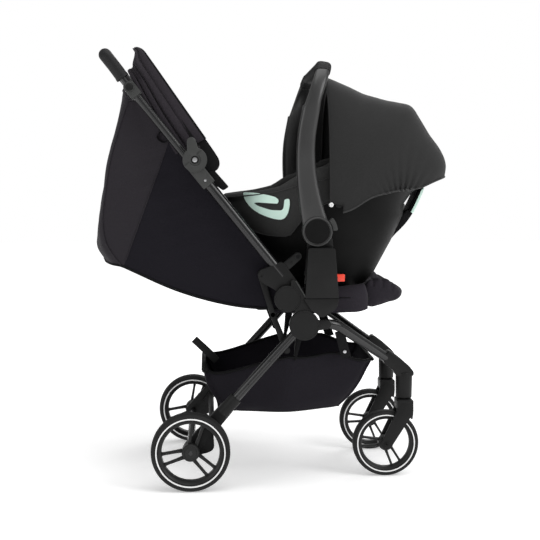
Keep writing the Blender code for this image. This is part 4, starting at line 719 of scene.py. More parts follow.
RAIL = [(0.221, 0.467), (0.229, 0.467), (0.2665, 0.4045), (0.2665, 0.375), (0.24, 0.38), (0.218, 0.415)]
for side, tag in SIDES:
    inner, outer = side * CASTING_Y, side * (CASTING_Y + CASTING_W)
    low, high = sorted((inner, outer - side * 0.0015))
    body = slab(RAIL, low, high, [0.003, 0.003, 0.006, 0.008, 0.004, 0.004], 0.0016)
    add(body, lipped_disc(FOLD_PIVOT, 0.029, inner, outer, side))
    add(body, lipped_disc(LEG_PIVOT, 0.033, inner, outer + side * 0.0025, side))
    low, high = sorted((inner, outer - side * 0.0025))
    add(body, belt((0.264, 0.365), 0.012, (0.2985, 0.368), 0.0105, low, high, 0.0016))
    low, high = sorted((side * (TUBE_Y + 0.0113), inner + side * 0.002))
    add(body, round_bar((0.296, 0.368), 0.0085, low, high, 0))
    piece(f"side_casting_{tag}", body, CASTING, "frame", (f"side_frame_{tag}",))
    # A lighter grey strip along the rail's upper front edge is a painted highlight: it stands for the light
    # that this edge catches.
    strip = slab([(0.23, 0.464), (0.232, 0.4655), (0.269, 0.404), (0.2668, 0.402)],
                 *sorted((inner + side * 0.002, outer - side * 0.0005)), 0.0005, 0.0006)
    piece(f"rail_edge_highlight_{tag}", strip, GREY_TRIM, "frame")

# %% [markdown]
# The handle tubes are extrusions with a shallow groove down their outer side, which shows in the
# photograph as two fine lines. A tube is swept as a round bar with a bore, because the thinner upper
# tube slides inside the lower one, and a slim rib on its outer face catches the light.

# %% Handle tubes, brackets and links
TUBE_TOP = 0.295
for side, tag in SIDES:
    y = side * TUBE_Y
    lower = rod([on_tube(0, y), on_tube(0.1, y), on_tube(TUBE_TOP, y)], 0.0115, 40, 0.0097)
    for off in (-0.003, 0.0042):
        rib_y = y + side * 0.0108
        add(lower, rod([on_tube(0.04, rib_y, off), on_tube(TUBE_TOP - 0.036, rib_y, off)], 0.001, 8))
    piece(f"main_tube_skin_{tag}", lower, TUBE_PAINT, "handle_frame", (f"main_tube_{tag}",))
    upper = rod([on_tube(TUBE_TOP - 0.085, y), on_tube(COLLAR_REACH - 0.016, y)], 0.0092, 36)
    for off in (-0.003, 0.003):
        rib_y = y + side * 0.0081
        add(upper, rod([on_tube(TUBE_TOP + 0.022, rib_y, off), on_tube(COLLAR_REACH - 0.026, rib_y, off)],
                       0.0011, 8))
    piece(f"upper_tube_skin_{tag}", upper, TUBE_PAINT, "handle_extension", (f"upper_tube_{tag}",))


def tube_box(start, stop, front, back):
    """Side-view outline of a box along the handle tube, as places ahead of the axle."""
    corners = ((start, front), (stop, front), (stop, -back), (start, -back))
    return [side_place(on_tube(a, 0, b)) for a, b in corners]


BRACKET = [(0.203, 0.506), (0.244, 0.451), (0.238, 0.43), (0.23, 0.408), (0.213, 0.404), (0.196, 0.414),
           (0.19, 0.442), (0.164, 0.456), (0.148, 0.47), (0.15, 0.486)]
BRACKET_ROUND = [0.006, 0.004, 0.004, 0.008, 0.008, 0.008, 0.008, 0.006, 0.008, 0.008]
for side, tag in SIDES:
    y = side * TUBE_Y
    bracket = slab(BRACKET, y - 0.01125, y + 0.01125, BRACKET_ROUND, 0.0018)
    add(bracket, belt((0.212, 0.496), 0.0095, BUMPER_HOLE, 0.0085, *span(side, -0.006, 0.009, y), 0.0012))
    add(bracket, round_bar(LINK_TOP, 0.0035, *span(side, TUBE_Y, LINK_Y - 0.0032), edge=0))
    add(bracket, screw((0.223, 0.504), y + side * 0.0087, side, 0.0026))
    add(bracket, screw(LINK_TOP, y + side * 0.01125, side, 0.0028))
    eye = ((0.0046, 0.008), (0.0046, 0.01), (0.007, 0.01), (0.0078, 0.008))
    add(bracket, turn_out(eye, y, side, BUMPER_HOLE, 32))
    piece(f"bracket_{tag}", bracket, CASTING, "handle_frame", (f"tube_bracket_{tag}",))
    # A near-black disc inside the eye is painted shade: it stands for the dark inside of the bumper socket's
    # hole.
    pit = round_bar(BUMPER_HOLE, 0.0046, *span(side, 0.008, 0.0093, y), edge=0, sides=24)
    piece(f"bumper_socket_shade_{tag}", pit, BINDING, "handle_frame")
    link_y = span(side, LINK_Y - 0.00325, LINK_Y + 0.00325)
    link = belt(LINK_TOP, 0.0075, (0.183, 0.386), 0.0062, *link_y, 0.0012)
    add(link, belt((0.183, 0.386), 0.0062, LINK_BOTTOM, 0.0075, *link_y, 0.0012))
    piece(f"link_{tag}", link, CASTING, "link_bars", (f"link_bar_{tag}",))

# %% [markdown]
# The rear legs run from the big side discs down to the housings that hold the rear axle.

# %% Rear legs and wheel housings
LEG_FOOT = (0.074, 0.174)
LEG_WAY = (Vector((LEG_PIVOT[0], 0, LEG_PIVOT[1])) - Vector((LEG_FOOT[0], 0, LEG_FOOT[1]))).normalized()
HOUSING_Y, HOUSING_W = REAR_Y - REAR_W / 2 - 0.0035, 0.018
for side, tag in SIDES:
    y = side * TUBE_Y
    foot = ahead(LEG_FOOT[0], y, LEG_FOOT[1])
    top = ahead(LEG_PIVOT[0], y, LEG_PIVOT[1])
    leg = rod([foot, foot + LEG_WAY * 0.1, top - LEG_WAY * 0.01], 0.0105, 32)
    for off in (-0.0035, 0.0035):
        shift = Vector((-LEG_WAY.z, 0, LEG_WAY.x)) * off + Vector((0, side * 0.0096, 0))
        add(leg, rod([foot + LEG_WAY * 0.045 + shift, top - LEG_WAY * 0.036 + shift], 0.001, 8))
    add(leg, round_bar(LEG_PIVOT, 0.0195, y - 0.01125, y + 0.01125, 0.001, 40))
    for reach in (0.08, 0.15):
        add(leg, rivet(side_place(foot + LEG_WAY * reach), y + side * 0.01, side, 0.0028))
    piece(f"rear_leg_skin_{tag}", leg, TUBE_PAINT, "rear_legs", (f"rear_leg_{tag}",))
    low, high = span(side, HOUSING_Y - HOUSING_W, HOUSING_Y)
    housing = belt(REAR_CENTRE, 0.0175, (LEG_FOOT[0] + 0.006, LEG_FOOT[1] + 0.004), 0.015, low, high, 0.0025)
    add(housing, rod([foot - LEG_WAY * 0.006, foot + LEG_WAY * 0.034, foot + LEG_WAY * 0.04], 0.0147, 32,
                     0.0108))
    block = [(0.012, 0.13), (0.05, 0.1335), (0.0525, 0.088), (0.042, 0.08), (0.013, 0.073)]
    add(housing, slab(block, low + 0.0007, high - 0.0007, [0.004, 0.008, 0.01, 0.01, 0.004], 0.003))
    piece(f"housing_{tag}", housing, CASTING, "rear_legs", (f"wheel_housing_{tag}",))

# %% [markdown]
# The push handle's knuckles are lighter grey, with a round button in the middle, and the grip is one
# foam-filled sleeve with a sewn seam on its inner side.

# %% Push handle


def handle_side(y):
    """The push handle's bends on one side, from the knuckle up to the corner of its bar."""
    knuckle_top = ahead(HANDLE_PIVOT[0], y, HANDLE_PIVOT[1]) + TUBE_WAY * 0.004
    return [knuckle_top, ahead(-0.156, y, 0.9235), ahead(-0.179, y, 0.9525)]


handle_line = bend_path(handle_side(-TUBE_Y) + handle_side(TUBE_Y)[::-1], 0.05, 8)
trimmed = list(handle_line)
trimmed[0] = trimmed[0] + (trimmed[1] - trimmed[0]).normalized() * 0.022
trimmed[-1] = trimmed[-1] + (trimmed[-2] - trimmed[-1]).normalized() * 0.022
sleeve = rod(trimmed, 0.014, 28, 0.009)
for end_point, next_point in ((trimmed[0], trimmed[1]), (trimmed[-1], trimmed[-2])):
    way = (next_point - end_point).normalized()
    add(sleeve, rod([end_point - way * 0.0015, end_point + way * 0.0045], 0.0146, 28, 0.009))
piece("grip_sleeve", sleeve, GRIP_SKIN, "handlebar", ("handle_grip",))
seam_line = [p + Vector((0.012, 0, -0.0078)) * (1 if abs(p.y) < 0.17 else 0.98) for p in trimmed[6:-6]]
piece("grip_seam", rod(seam_line, 0.0006, 8), PIPING, "handlebar")
for side, tag in SIDES:
    y = side * TUBE_Y
    cheeks = bmesh.new()
    for out in (-1, 1):
        cheek_box = tube_box(COLLAR_REACH - 0.024, COLLAR_REACH + 0.012, 0.013, 0.013)
        cheek_y = span(out, 0.008, 0.0145, y)
        add(cheeks, slab(cheek_box, *cheek_y, [0.003, 0.01, 0.01, 0.003], 0.0014))
    add(cheeks, rod([on_tube(COLLAR_REACH - 0.0255, y), on_tube(COLLAR_REACH - 0.015, y)], 0.0128, 32,
                    0.0095))
    rim = ((0.008, 0.014), (0.008, 0.0156), (0.0104, 0.0156), (0.0112, 0.014))
    add(cheeks, turn_out(rim, y, side, HANDLE_PIVOT, 40))
    piece(f"knuckle_{tag}", cheeks, GREY_TRIM, "handle_extension", (f"handle_collar_{tag}",))
    dome = ((0, 0.0133), (0.0074, 0.0133), (0.0074, 0.0178), (0.0066, 0.0184), (0.004, 0.018), (0, 0.0178))
    button = turn_out(dome, y, side, HANDLE_PIVOT, 36)
    piece(f"knuckle_button_{tag}", button, CASTING, f"handle_button_{tag}", (f"handle_button_{tag}",))

# %% [markdown]
# The hood turns on a round hinge at the top of the main tube. A sleeve grips the tube, and the hinge
# disc has a cut-away step round its socket screw.

# %% Hood hinges
HOOD_WAY = Vector((-0.4712, 0, 0.882)).normalized()
HOOD_ACROSS = Vector((HOOD_WAY.z, 0, -HOOD_WAY.x))


def hood_point(reach, y, off):
    """A point on the folded hood: reach up the hood's line and off towards its front."""
    return ahead(HOOD_PIVOT[0], y, HOOD_PIVOT[1]) + HOOD_WAY * reach + HOOD_ACROSS * off


for side, tag in SIDES:
    y = side * TUBE_Y
    sleeve_box = tube_box(TUBE_TOP - 0.04, TUBE_TOP + 0.02, 0.0158, 0.015)
    mount = bmesh.new()
    for out in (-1, 1):
        add(mount, slab(sleeve_box, *span(out, 0.0098, 0.015, y), 0.0045, 0.0022, 4, 3))
    for front, back in ((0.0158, -0.0098), (-0.0098, 0.015)):
        wall_box = tube_box(TUBE_TOP - 0.04, TUBE_TOP + 0.02, front, back)
        add(mount, slab(wall_box, y - 0.011, y + 0.011, 0.0008, 0.0006))
    neck = side_place(on_tube(TUBE_TOP - 0.01))
    add(mount, belt(HOOD_PIVOT, 0.015, neck, 0.013, *span(side, 0.011, 0.0156, y), 0.001))
    piece(f"hood_mount_{tag}", mount, GREY_TRIM, "handle_frame")
    head = screw(side_place(on_tube(TUBE_TOP - 0.026)), y + side * 0.0148, side, 0.003)
    piece(f"hood_mount_screw_{tag}", head, STEEL, "handle_frame")
    inner = side * (CASTING_Y + 0.0025)
    outer = inner + side * 0.0115
    face_line = [(r, outer + side * y_off) for r, y_off in
                 ((0.0265, -0.0045), (0.0255, -0.0035), (0.0085, -0.0035), (0.0085, -0.007), (0, -0.007))]
    back_y = inner + side * 0.0065
    disc = turn([(0.0265, inner), *face_line, (0, back_y), (0.0063, back_y), (0.0063, inner)], HOOD_PIVOT, 64)
    low, high = sorted((inner + side * 0.0004, outer - side * 0.0029))
    arm_start, arm_end = side_place(hood_point(0.0205, 0, 0.006)), side_place(hood_point(0.038, 0, 0.012))
    add(disc, belt(arm_start, 0.0125, arm_end, 0.0095, low, high, 0.0012))
    moon = ((0.0262, -0.004), (0.0262, -0.0008), (0.0254, 0), (0.014, 0), (0.0132, -0.0008), (0.0132, -0.004))
    crescent = turn_out(moon, outer, side, HOOD_PIVOT, 64)
    cut_way = hood_point(0, 0, 0) - hood_point(0.022, 0, -0.006)
    geometry = crescent.verts[:] + crescent.edges[:] + crescent.faces[:]
    bmesh.ops.bisect_plane(crescent, geom=geometry, plane_co=hood_point(0.004, 0, 0), plane_no=cut_way,
                           clear_inner=True)
    open_edges = [e for e in crescent.edges if len(e.link_faces) == 1]
    close_holes(crescent, open_edges)
    add(disc, crescent)
    piece(f"hinge_disc_{tag}", disc, GREY_TRIM, "hood", (f"hood_hinge_{tag}",))
    cup = ((0, -0.0068), (0.0083, -0.0068), (0.0083, -0.0042), (0.0078, -0.0042), (0.0074, -0.0062),
           (0, -0.0062))
    well = turn_out(cup, outer, side, HOOD_PIVOT, 40)
    piece(f"hinge_well_{tag}", well, CASTING, "hood")
    head = screw(HOOD_PIVOT, outer - side * 0.006, side, 0.0052)
    piece(f"hinge_screw_{tag}", head, STEEL, "hood")

# %% [markdown]
# The adapters are plain wedges on the chair's sides, and the carrier's connectors stand on them with a
# fine seam between the two.

# %% Adapters
ADAPTER = [(0.2484, 0.425), (0.3258, 0.425), (0.3205, 0.4035), (0.287, 0.382), (0.2756, 0.3925),
           (0.2645, 0.4001)]
CONNECTOR = [(0.258, 0.536), (0.317, 0.536), (0.3255, 0.4258), (0.2515, 0.4258)]
for side, tag in SIDES:
    low, high = span(side, 0.205, 0.246)
    block = slab(ADAPTER, low, high, [0.0012, 0.002, 0.006, 0.008, 0.003, 0.001], 0.0014)
    low, high = span(side, 0.2113, 0.2337)
    add(block, slab([(0.269, 0.424), (0.307, 0.424), (0.307, 0.495), (0.269, 0.495)], low, high, 0.002,
                    0.001))
    low, high = span(side, 0.1995, 0.207)
    add(block, belt((0.276, 0.412), 0.006, (0.306, 0.39), 0.005, low, high, 0.0008))
    piece(f"adapter_{tag}", block, CASTING, "frame", (f"carrier_adapter_{tag}",))

# %% [markdown]
# The infant carrier's shell is one thin moulded tub. Its cross-sections are superellipses, rounder than
# boxes and squarer than ovals, in planes that slope up towards the head. Straight blends between five
# measured sections give every section in between, and the same sections shape the padded cover.

# %% Carrier sections
SHELL_LEVELS = ((0.235, 0.437, 0.41, 0.437, 0.1), (0.17, 0.472, 0.433, 0.464, 0.132),
                (0.115, 0.538, 0.473, 0.54, 0.16), (0.086, 0.6, 0.502, 0.602, 0.174),
                (0.08, 0.636, 0.578, 0.69, 0.18))
TUB_POWER = 2.6
RISE = ((0.15, 0), (0.195, 0.004), (0.245, 0.026), (0.3, 0.04), (0.335, 0.056), (0.385, 0.06),
        (0.45, 0.046), (0.52, 0.016), (0.57, 0))


def tub_level(height):
    """Foot x and z, head x and z and half width of the tub at a height counted in sections, 0 to 4."""
    height = min(max(height, 0), 4.35)
    low = min(int(height), 3)
    level = [a + (b - a) * (height - low) for a, b in zip(SHELL_LEVELS[low], SHELL_LEVELS[low + 1])]
    level[2] -= 0.026 * sin(pi * min(max(height - 3, 0), 1))
    return level


def tub_point(turn_share, height, grow=0, lift=0):
    """A point of the tub's skin, grown outwards: turn_share runs once round the tub from its head end."""
    foot_x, foot_z, head_x, head_z, half = tub_level(height)
    c, s = cos(2 * pi * turn_share), sin(2 * pi * turn_share)
    u, v = squarish(c, 2 / TUB_POWER), squarish(s, 2 / TUB_POWER)
    reach = Vector((head_x - foot_x, head_z - foot_z)) / 2
    longer = 1 + grow / max(reach.length, 1e-6)
    return ahead((foot_x + head_x) / 2 + reach.x * u * longer, -(half + grow) * v,
                 (foot_z + head_z) / 2 + reach.y * u * longer + lift)


def even_turns(count, height):
    """Shares of a turn that lie at equal distances along the tub's rim."""
    fine = [tub_point(k / 720, height) for k in range(721)]
    lengths = [0]
    for a, b in zip(fine, fine[1:]):
        lengths.append(lengths[-1] + (b - a).length)
    shares, k = [], 0
    for n in range(count):
        want = lengths[-1] * n / count
        while lengths[k + 1] < want:
            k += 1
        shares.append((k + (want - lengths[k]) / (lengths[k + 1] - lengths[k])) / 720)
    return shares


def wing(x):
    """How far the padded cover rises beside the shoulders at a place x ahead of the axle."""
    knots = [(0, 0)] + list(RISE) + [(0.9, 0)]
    for (xa, ra), (xb, rb) in zip(knots, knots[1:]):
        if xa <= x <= xb:
            t = (x - xa) / (xb - xa)
            return ra + (rb - ra) * (t * t * (3 - 2 * t) * 0.5 + t * 0.5)
    return 0


TURNS = even_turns(96, 4)


def tub_skin(rows):
    """A closed skin through rows of (height, grow, lift, wing share), one ring of the tub per row."""
    shape = bmesh.new()
    loops = []
    for height, grow, lift, share in rows:
        ring = []
        for turn_share in TURNS:
            point = tub_point(turn_share, height(turn_share) if callable(height) else height, grow, lift)
            point.z += share * wing(point.x - AXLE_X)
            ring.append(point)
        loops.append(ring_of(shape, ring))
    return loft(shape, loops, caps=False), loops


# %% [markdown]
# The shell hangs on two side connectors. Each is a tapered block with a socket underneath, which drops
# over the adapter's post, and a web that ties it to the tub.

# %% Carrier shell and connectors
heights = [0, 0.25, 0.5, 0.75, 1, 1.25, 1.5, 1.75, 2, 2.3, 2.6, 3, 3.3, 3.6, 3.85, 4]
rows = [(0, -0.014, 0.003, 0), (0, -0.004, 0, 0)] + [(h, 0, 0, 0) for h in heights[1:]]
rows += [(4, -0.0015, 0.0008, 0), (4, -0.0045, 0, 0)]
rows += [(h, -0.0048, 0.004 if h < 0.5 else 0.001, 0) for h in reversed(heights[:-1])]
shell, loops = tub_skin(rows)
close_holes(shell, loops[0] + loops[-1])
piece("shell_tub", shell, SHELL_PLASTIC, "carrier", ("carrier_shell",))

for side, tag in SIDES:
    low, high = span(side, 0.199, 0.245)
    block = slab(CONNECTOR, low, high, [0.005, 0.005, 0.0012, 0.0012], 0.0016)
    under = min((f for f in block.faces if f.normal.z < -0.9), key=lambda f: -f.calc_area())
    bmesh.ops.inset_region(block, faces=[under], thickness=0.009)
    for vert in under.verts:
        vert.co.x = AXLE_X + (0.268 if vert.co.x - AXLE_X < 0.288 else 0.308)
        vert.co.y = side * (0.21 if abs(vert.co.y) < 0.222 else 0.235)
    extrude(block, under, (0, 0, 0.072))
    cheek = slab([(0.26, 0.556), (0.315, 0.556), (0.317, 0.534), (0.258, 0.534)],
                 *span(side, 0.199, 0.2068), 0.003, 0.001)
    web = slab([(0.262, 0.53), (0.314, 0.53), (0.318, 0.465), (0.258, 0.465)],
               *span(side, 0.138, 0.201), 0.004, 0.0015)
    add(block, cheek, web)
    add(block, round_bar(HUB, 0.026, *span(side, 0.164, 0.208), edge=0.0015, sides=40))
    piece(f"connector_{tag}", block, CASTING, "carrier")
    button = slab([(0.315, 0.461), (0.3405, 0.461), (0.3405, 0.477), (0.315, 0.477)],
                  *span(side, 0.2145, 0.2255), 0.0016, 0.001)
    piece(f"release_{tag}", button, RED, f"release_button_{tag}", (f"release_button_{tag}",))

# %% [markdown]
# The carry handle is one wide moulded arm that swings from hub to hub. Its section is a flat band with
# rounded corners. It is lofted along the measured side line, then carried round each upper corner to
# the top bar, where a ribbed rubber sleeve gives the hand its hold.

# %% Carry handle
ARM_Y, ARM_T, HANDLE_RISE = 0.2225, 0.019, 0.3625
SIDE_LINE = curve_through([(0, 0, 0.03), (-0.014, 0.06, 0.025), (-0.024, 0.13, 0.0215),
                           (-0.024, 0.2, 0.02), (-0.013, 0.27, 0.019)], 7)


def band(shape, centre, across, inward, half, thick, sides=28):
    """One ring of the handle: a flat band with rounded corners."""
    turns = [2 * pi * k / sides for k in range(sides)]
    return ring_of(shape, [centre + across * half * squarish(cos(a), 0.62)
                           + inward * thick * squarish(sin(a), 0.82) for a in turns])


def handle_stations():
    """Centre, directions and size of each ring from the right hub over the top to the middle."""
    stations = []
    for i, (dx, dz, half) in enumerate(SIDE_LINE):
        after, before = SIDE_LINE[min(i + 1, len(SIDE_LINE) - 1)], SIDE_LINE[max(i - 1, 0)]
        way = Vector((after[0] - before[0], 0, after[1] - before[1])).normalized()
        stations.append((ahead(HUB[0] + dx, -ARM_Y, HUB[1] + dz), Vector((way.z, 0, -way.x)),
                         Vector((0, 1, 0)), half, ARM_T / 2))
    start_x, start_z = SIDE_LINE[-1][0], SIDE_LINE[-1][1]
    for k in range(1, 17):
        a = pi / 2 * k / 16
        inward = Vector((-0.15 * sin(a), cos(a), -sin(a))).normalized()
        across = Vector((1, 0, 0.25 * cos(a)))
        across = (across - inward * across.dot(inward)).normalized()
        centre = ahead(HUB[0] + start_x + (0.0185 - start_x) * sin(a), -ARM_Y + 0.06 * (1 - cos(a)),
                       HUB[1] + start_z + (HANDLE_RISE - start_z) * sin(a))
        stations.append((centre, across, inward, 0.019 - 0.0035 * sin(a), 0.0095))
    for y in (-0.13, -0.09, -0.05, 0):
        stations.append((ahead(HUB[0] + 0.0185, y, HUB[1] + HANDLE_RISE), Vector((1, 0, 0)),
                         Vector((0, 0, -1)), 0.0155, 0.0095))
    return stations


def mirrored(stations):
    """The rings of the whole handle, from those of its right half."""
    flip = Vector((1, -1, 1))
    other = [(c * flip, a * flip, i * flip, half, thick) for c, a, i, half, thick in reversed(stations[:-1])]
    return stations + other


def lofted(stations):
    """A solid bar through all the rings."""
    shape = bmesh.new()
    return loft(shape, [band(shape, *station) for station in stations])


arms = handle_stations()
hoop = lofted(mirrored(arms))
for side, tag in SIDES:
    face = side * (ARM_Y + ARM_T / 2)
    back = side * (ARM_Y - ARM_T / 2 - 0.0006)
    rim_profile = [(0, back), (0.0325, back), (0.0335, back + side * 0.001), (0.0335, face - side * 0.0005),
                   (0.0325, face + side * 0.0012), (0.0308, face + side * 0.0015),
                   (0.0292, face + side * 0.001), (0.0284, face - side * 0.0008), (0, face - side * 0.0008)]
    add(hoop, turn(rim_profile, HUB, 72))
piece("carry_hoop", hoop, HANDLE_SKIN, "carrier_handle", ("carrier_handle",), smooth=40)
for side, tag in SIDES:
    face = side * (ARM_Y + ARM_T / 2)
    dish = ((0, -0.0006), (0.0268, -0.0006), (0.0272, 0.0002), (0.0262, 0.001), (0.024, 0.0012), (0, 0.0014))
    cap = turn_out(dish, face, side, HUB, 72)
    piece(f"hub_cap_{tag}", cap, SHELL_PLASTIC, "carrier_handle")
    tab_line = [(HUB[0] + r * cos(radians(d)), HUB[1] + r * sin(radians(d)))
                for r, degrees in ((0.045, range(2, 43, 4)), (0.0343, range(42, 1, -4))) for d in degrees]
    tab_corner = [0.003] + [0] * 9 + [0.003] + [0] * (len(tab_line) - 11)
    tab = slab(tab_line, *span(side, 0.2155, 0.23), tab_corner, 0.0012)
    piece(f"squeeze_tab_{tag}", tab, GREY_TRIM, f"handle_tab_{tag}", (f"handle_tab_{tag}",))
grip_part = [s for s in mirrored(arms) if s[0].z > arms[0][0].z + 0.3465]
ribbed = []
for first, second in zip(grip_part, grip_part[1:]):
    steps = max(2, 2 * round((second[0] - first[0]).length / 0.0052))
    for k in range(steps):
        t = k / steps
        mixed_station = [a.lerp(b, t) for a, b in zip(first[:3], second[:3])]
        sizes = [a + (b - a) * t for a, b in zip(first[3:], second[3:])]
        rib = 0.0009 if k % 2 else 0.0017
        ribbed.append((*mixed_station, sizes[0] + rib, sizes[1] + rib))
piece("carry_grip", lofted(ribbed), GRIP_SKIN, "carrier_handle", smooth=24)

# %% [markdown]
# The carrier's cover is a padded cloth that lines the tub, rolls over its rim and hangs outside as a
# skirt. Beside the shoulders it rises into side wings. The skirt's hem dips at the foot end, where a
# mint hook holds the car's belt.

# %% Carrier cover
HEM = ((0.07, 2.95), (0.1, 2.82), (0.123, 2.72), (0.156, 2.42), (0.19, 2.33), (0.224, 2.32), (0.246, 2.8),
       (0.262, 3.2), (0.32, 3.62), (0.42, 3.82), (0.52, 3.88), (0.6, 3.9))


def hem_height(turn_share):
    """Height of the skirt's hem, counted in tub sections, all round the tub."""
    height = 3
    for _ in range(3):
        x = tub_point(turn_share, height).x - AXLE_X
        for (xa, ha), (xb, hb) in zip(HEM, HEM[1:]):
            if xa <= x <= xb:
                height = ha + (hb - ha) * (x - xa) / (xb - xa)
        if x < HEM[0][0]:
            height = HEM[0][1]
    return height


def between_hem(share):
    """Heights a share of the way from the hem to the rim."""
    return lambda turn_share: hem_height(turn_share) * (1 - share) + 4 * share


skirt_rows = [(between_hem(0), 0.0008, 0, 0), (between_hem(0), 0.0034, -0.0008, 0),
              (between_hem(0.04), 0.0042, 0, 0)]
skirt_rows += [(between_hem(s), 0.0042 + 0.0012 * sin(pi * s), 0, 0) for s in (0.2, 0.4, 0.6, 0.8, 0.92)]
skirt_rows += [(4, 0.0048, 0.003, 0.1), (4, 0.0058, 0.006, 0.45), (4, 0.0052, 0.009, 0.8),
               (4, 0.0028, 0.0128, 0.97), (4, -0.0015, 0.015, 1.02), (4, -0.007, 0.015, 1.02),
               (4, -0.0125, 0.0118, 0.99), (4, -0.0165, 0.007, 0.9), (4, -0.0185, 0.004, 0.6),
               (4, -0.019, -0.001, 0.25), (3.8, -0.0188, 0, 0.05)]
skirt_rows += [(h, -0.019 - 0.002 * sin(h * pi), 0.004, 0) for h in (3.4, 3, 2.6, 2.2, 1.8, 1.4, 1)]
skirt_rows += [(0.6, -0.02, 0.01, 0), (0.25, -0.023, 0.015, 0), (0.12, -0.045, 0.0185, 0)]
cover, loops = tub_skin(skirt_rows)
close_holes(cover, loops[-1])
cover_piece = piece("cover_quilt", cover, CARRIER_CLOTH, "carrier", ("carrier_cover",),
                    smooth=60)
cloth_wall(cover_piece, 0.001)


def on_cover(turn_share, row, off=0):
    """A point on one row of the cover's skin, pushed a little outwards."""
    height, grow, lift, share = skirt_rows[row]
    point = tub_point(turn_share, height(turn_share) if callable(height) else height, grow + off, lift)
    point.z += share * wing(point.x - AXLE_X)
    return point


for name, row, off, lift, size in (("cover_rim_piping", 9, 0.0012, 0.0012, 0.0015),
                                   ("cover_hem_piping", 1, 0.0004, 0, 0.0013)):
    line = [on_cover(t, row, off) + Vector((0, 0, lift)) for t in TURNS]
    piece(name, rod(line + [line[0]], size, 8), PIPING, "carrier")


def tub_side(x, z, grow):
    """The y of the cover's right side at a place x, z of the side view."""
    low, high = 0, 4.35
    for _ in range(24):
        middle = (low + high) / 2
        foot_x, foot_z, head_x, head_z, half = tub_level(middle)
        if foot_z + (head_z - foot_z) * (x - foot_x) / (head_x - foot_x) < z:
            low = middle
        else:
            high = middle
    foot_x, foot_z, head_x, head_z, half = tub_level(low)
    u = min(abs((x - (foot_x + head_x) / 2) / ((head_x - foot_x) / 2)), 0.999)
    return -(half + grow) * (1 - u ** TUB_POWER) ** (1 / TUB_POWER)


def curved_patch(outline, side, grow, thick_by, corner=0):
    """A thin plate cut to an outline and laid on the curved side of the cover."""
    shape = slab(outline, -0.001, 0.001, corner, 0, 4)
    keep = max((f for f in shape.faces if abs(f.normal.y) > 0.9), key=lambda f: f.calc_area())
    bmesh.ops.delete(shape, geom=[f for f in shape.faces if f != keep], context="FACES")
    bmesh.ops.triangulate(shape, faces=shape.faces)
    for _ in range(2):
        bmesh.ops.subdivide_edges(shape, edges=[e for e in shape.edges if e.calc_length() > 0.006], cuts=1)
        bmesh.ops.triangulate(shape, faces=[f for f in shape.faces if len(f.verts) > 3])
    for vert in shape.verts:
        vert.co.y = -side * tub_side(vert.co.x - AXLE_X, vert.co.z, grow)
    for face in shape.faces:
        face.normal_update()
        if face.normal.y * side < 0:
            face.normal_flip()
    bmesh.ops.solidify(shape, geom=shape.faces[:], thickness=-thick_by)
    return shape


HOOK = [(0.1215, 0.656), (0.156, 0.655), (0.191, 0.646), (0.199, 0.639), (0.196, 0.631), (0.151, 0.6335),
        (0.144, 0.632), (0.152, 0.626), (0.18, 0.617), (0.205, 0.616), (0.209, 0.622), (0.211, 0.64),
        (0.221, 0.643), (0.223, 0.633), (0.219, 0.609), (0.211, 0.597), (0.196, 0.596), (0.168, 0.603),
        (0.14, 0.619), (0.126, 0.638)]
HOOK_ROUND = [0.003, 0.02, 0.004, 0.004, 0.003, 0.003, 0.0015, 0.004, 0.006, 0.004, 0.003, 0.002, 0.004,
              0.006, 0.008, 0.008, 0.008, 0.015, 0.012, 0.006]
for side, tag in SIDES:
    hook = curved_patch(HOOK, side, 0.0068, 0.003, HOOK_ROUND)
    piece(f"belt_hook_{tag}", hook, MINT, "carrier", (f"belt_guide_{tag}",), smooth=40)

# %% [markdown]
# The canopy is one piece of cloth that fans out from two pivots over hidden bows. Each arch lies in a
# plane through the pivots, and the measured outline says how far each arch reaches. Near the rear hem
# an elastic gathers the cloth, so small ripples run out from the hem and fade.

# %% Canopy
CANOPY_PIVOT = (0.33, 0.63)
CANOPY_HALF = 0.2035
FAN = curve_through([(93, 0.2905), (88.5, 0.2825), (84, 0.275), (75, 0.264), (68.5, 0.2645), (62, 0.269),
                     (56, 0.279), (50.5, 0.289), (44, 0.283), (35, 0.278), (26, 0.283), (19, 0.283),
                     (13, 0.272)], 4)


def canopy_point(share, down):
    """A point of the canopy: share runs round an arch from right to left, down from front edge to hem."""
    at_fan = down * (len(FAN) - 1)
    low = min(int(at_fan), len(FAN) - 2)
    angle, reach = FAN[low].lerp(FAN[low + 1], at_fan - low)
    c, s = cos(pi * share), sin(pi * share)
    blunt = min(1, max(0, (60 - angle) / 30))
    u = squarish(c, 0.62 + 0.1 * blunt)
    v = max(s, 0) ** (0.7 + 0.22 * blunt)
    way = Vector((cos(radians(angle)), 0, sin(radians(angle))))
    hollow = -0.003 * sin(pi * min(1, max(0, (down - 0.02) / 0.52))) * v
    at = ahead(CANOPY_PIVOT[0], 0, CANOPY_PIVOT[1]) + way * (0.004 + (reach + hollow) * v)
    at.y = -CANOPY_HALF * u
    x, near_hem = at.x - AXLE_X, max(0, (down - 0.55) / 0.45) ** 1.6
    fore = max(0, 1 - down / 0.3) ** 1.3
    at.x -= fore * (0.0075 + 0.0125 * (1 - min(v, 1)) ** 1.2)
    skirt = max(near_hem, (1 - min(v, 1)) ** 3)
    at.z -= skirt * (0.02 * bell(x, 0.332, 0.054, 3) + 0.007 * bell(x, 0.515, 0.035))
    turned = atan2(at.z - 0.605, x - 0.47)
    crease = sin(34 * turned) * bell(x, 0.475, 0.05) * max(0, (down - 0.66) / 0.34) ** 1.3
    at.y += 0.0042 * crease * (-1 if share < 0.5 else 1) * min(1, abs(u) * 1.4)
    at.z += 0.001 * crease
    return at


def canopy_at(u, v):
    """A point of the canopy between its two pivots: the cloth starts just beside each."""
    return canopy_point(0.004 + 0.992 * u, v)


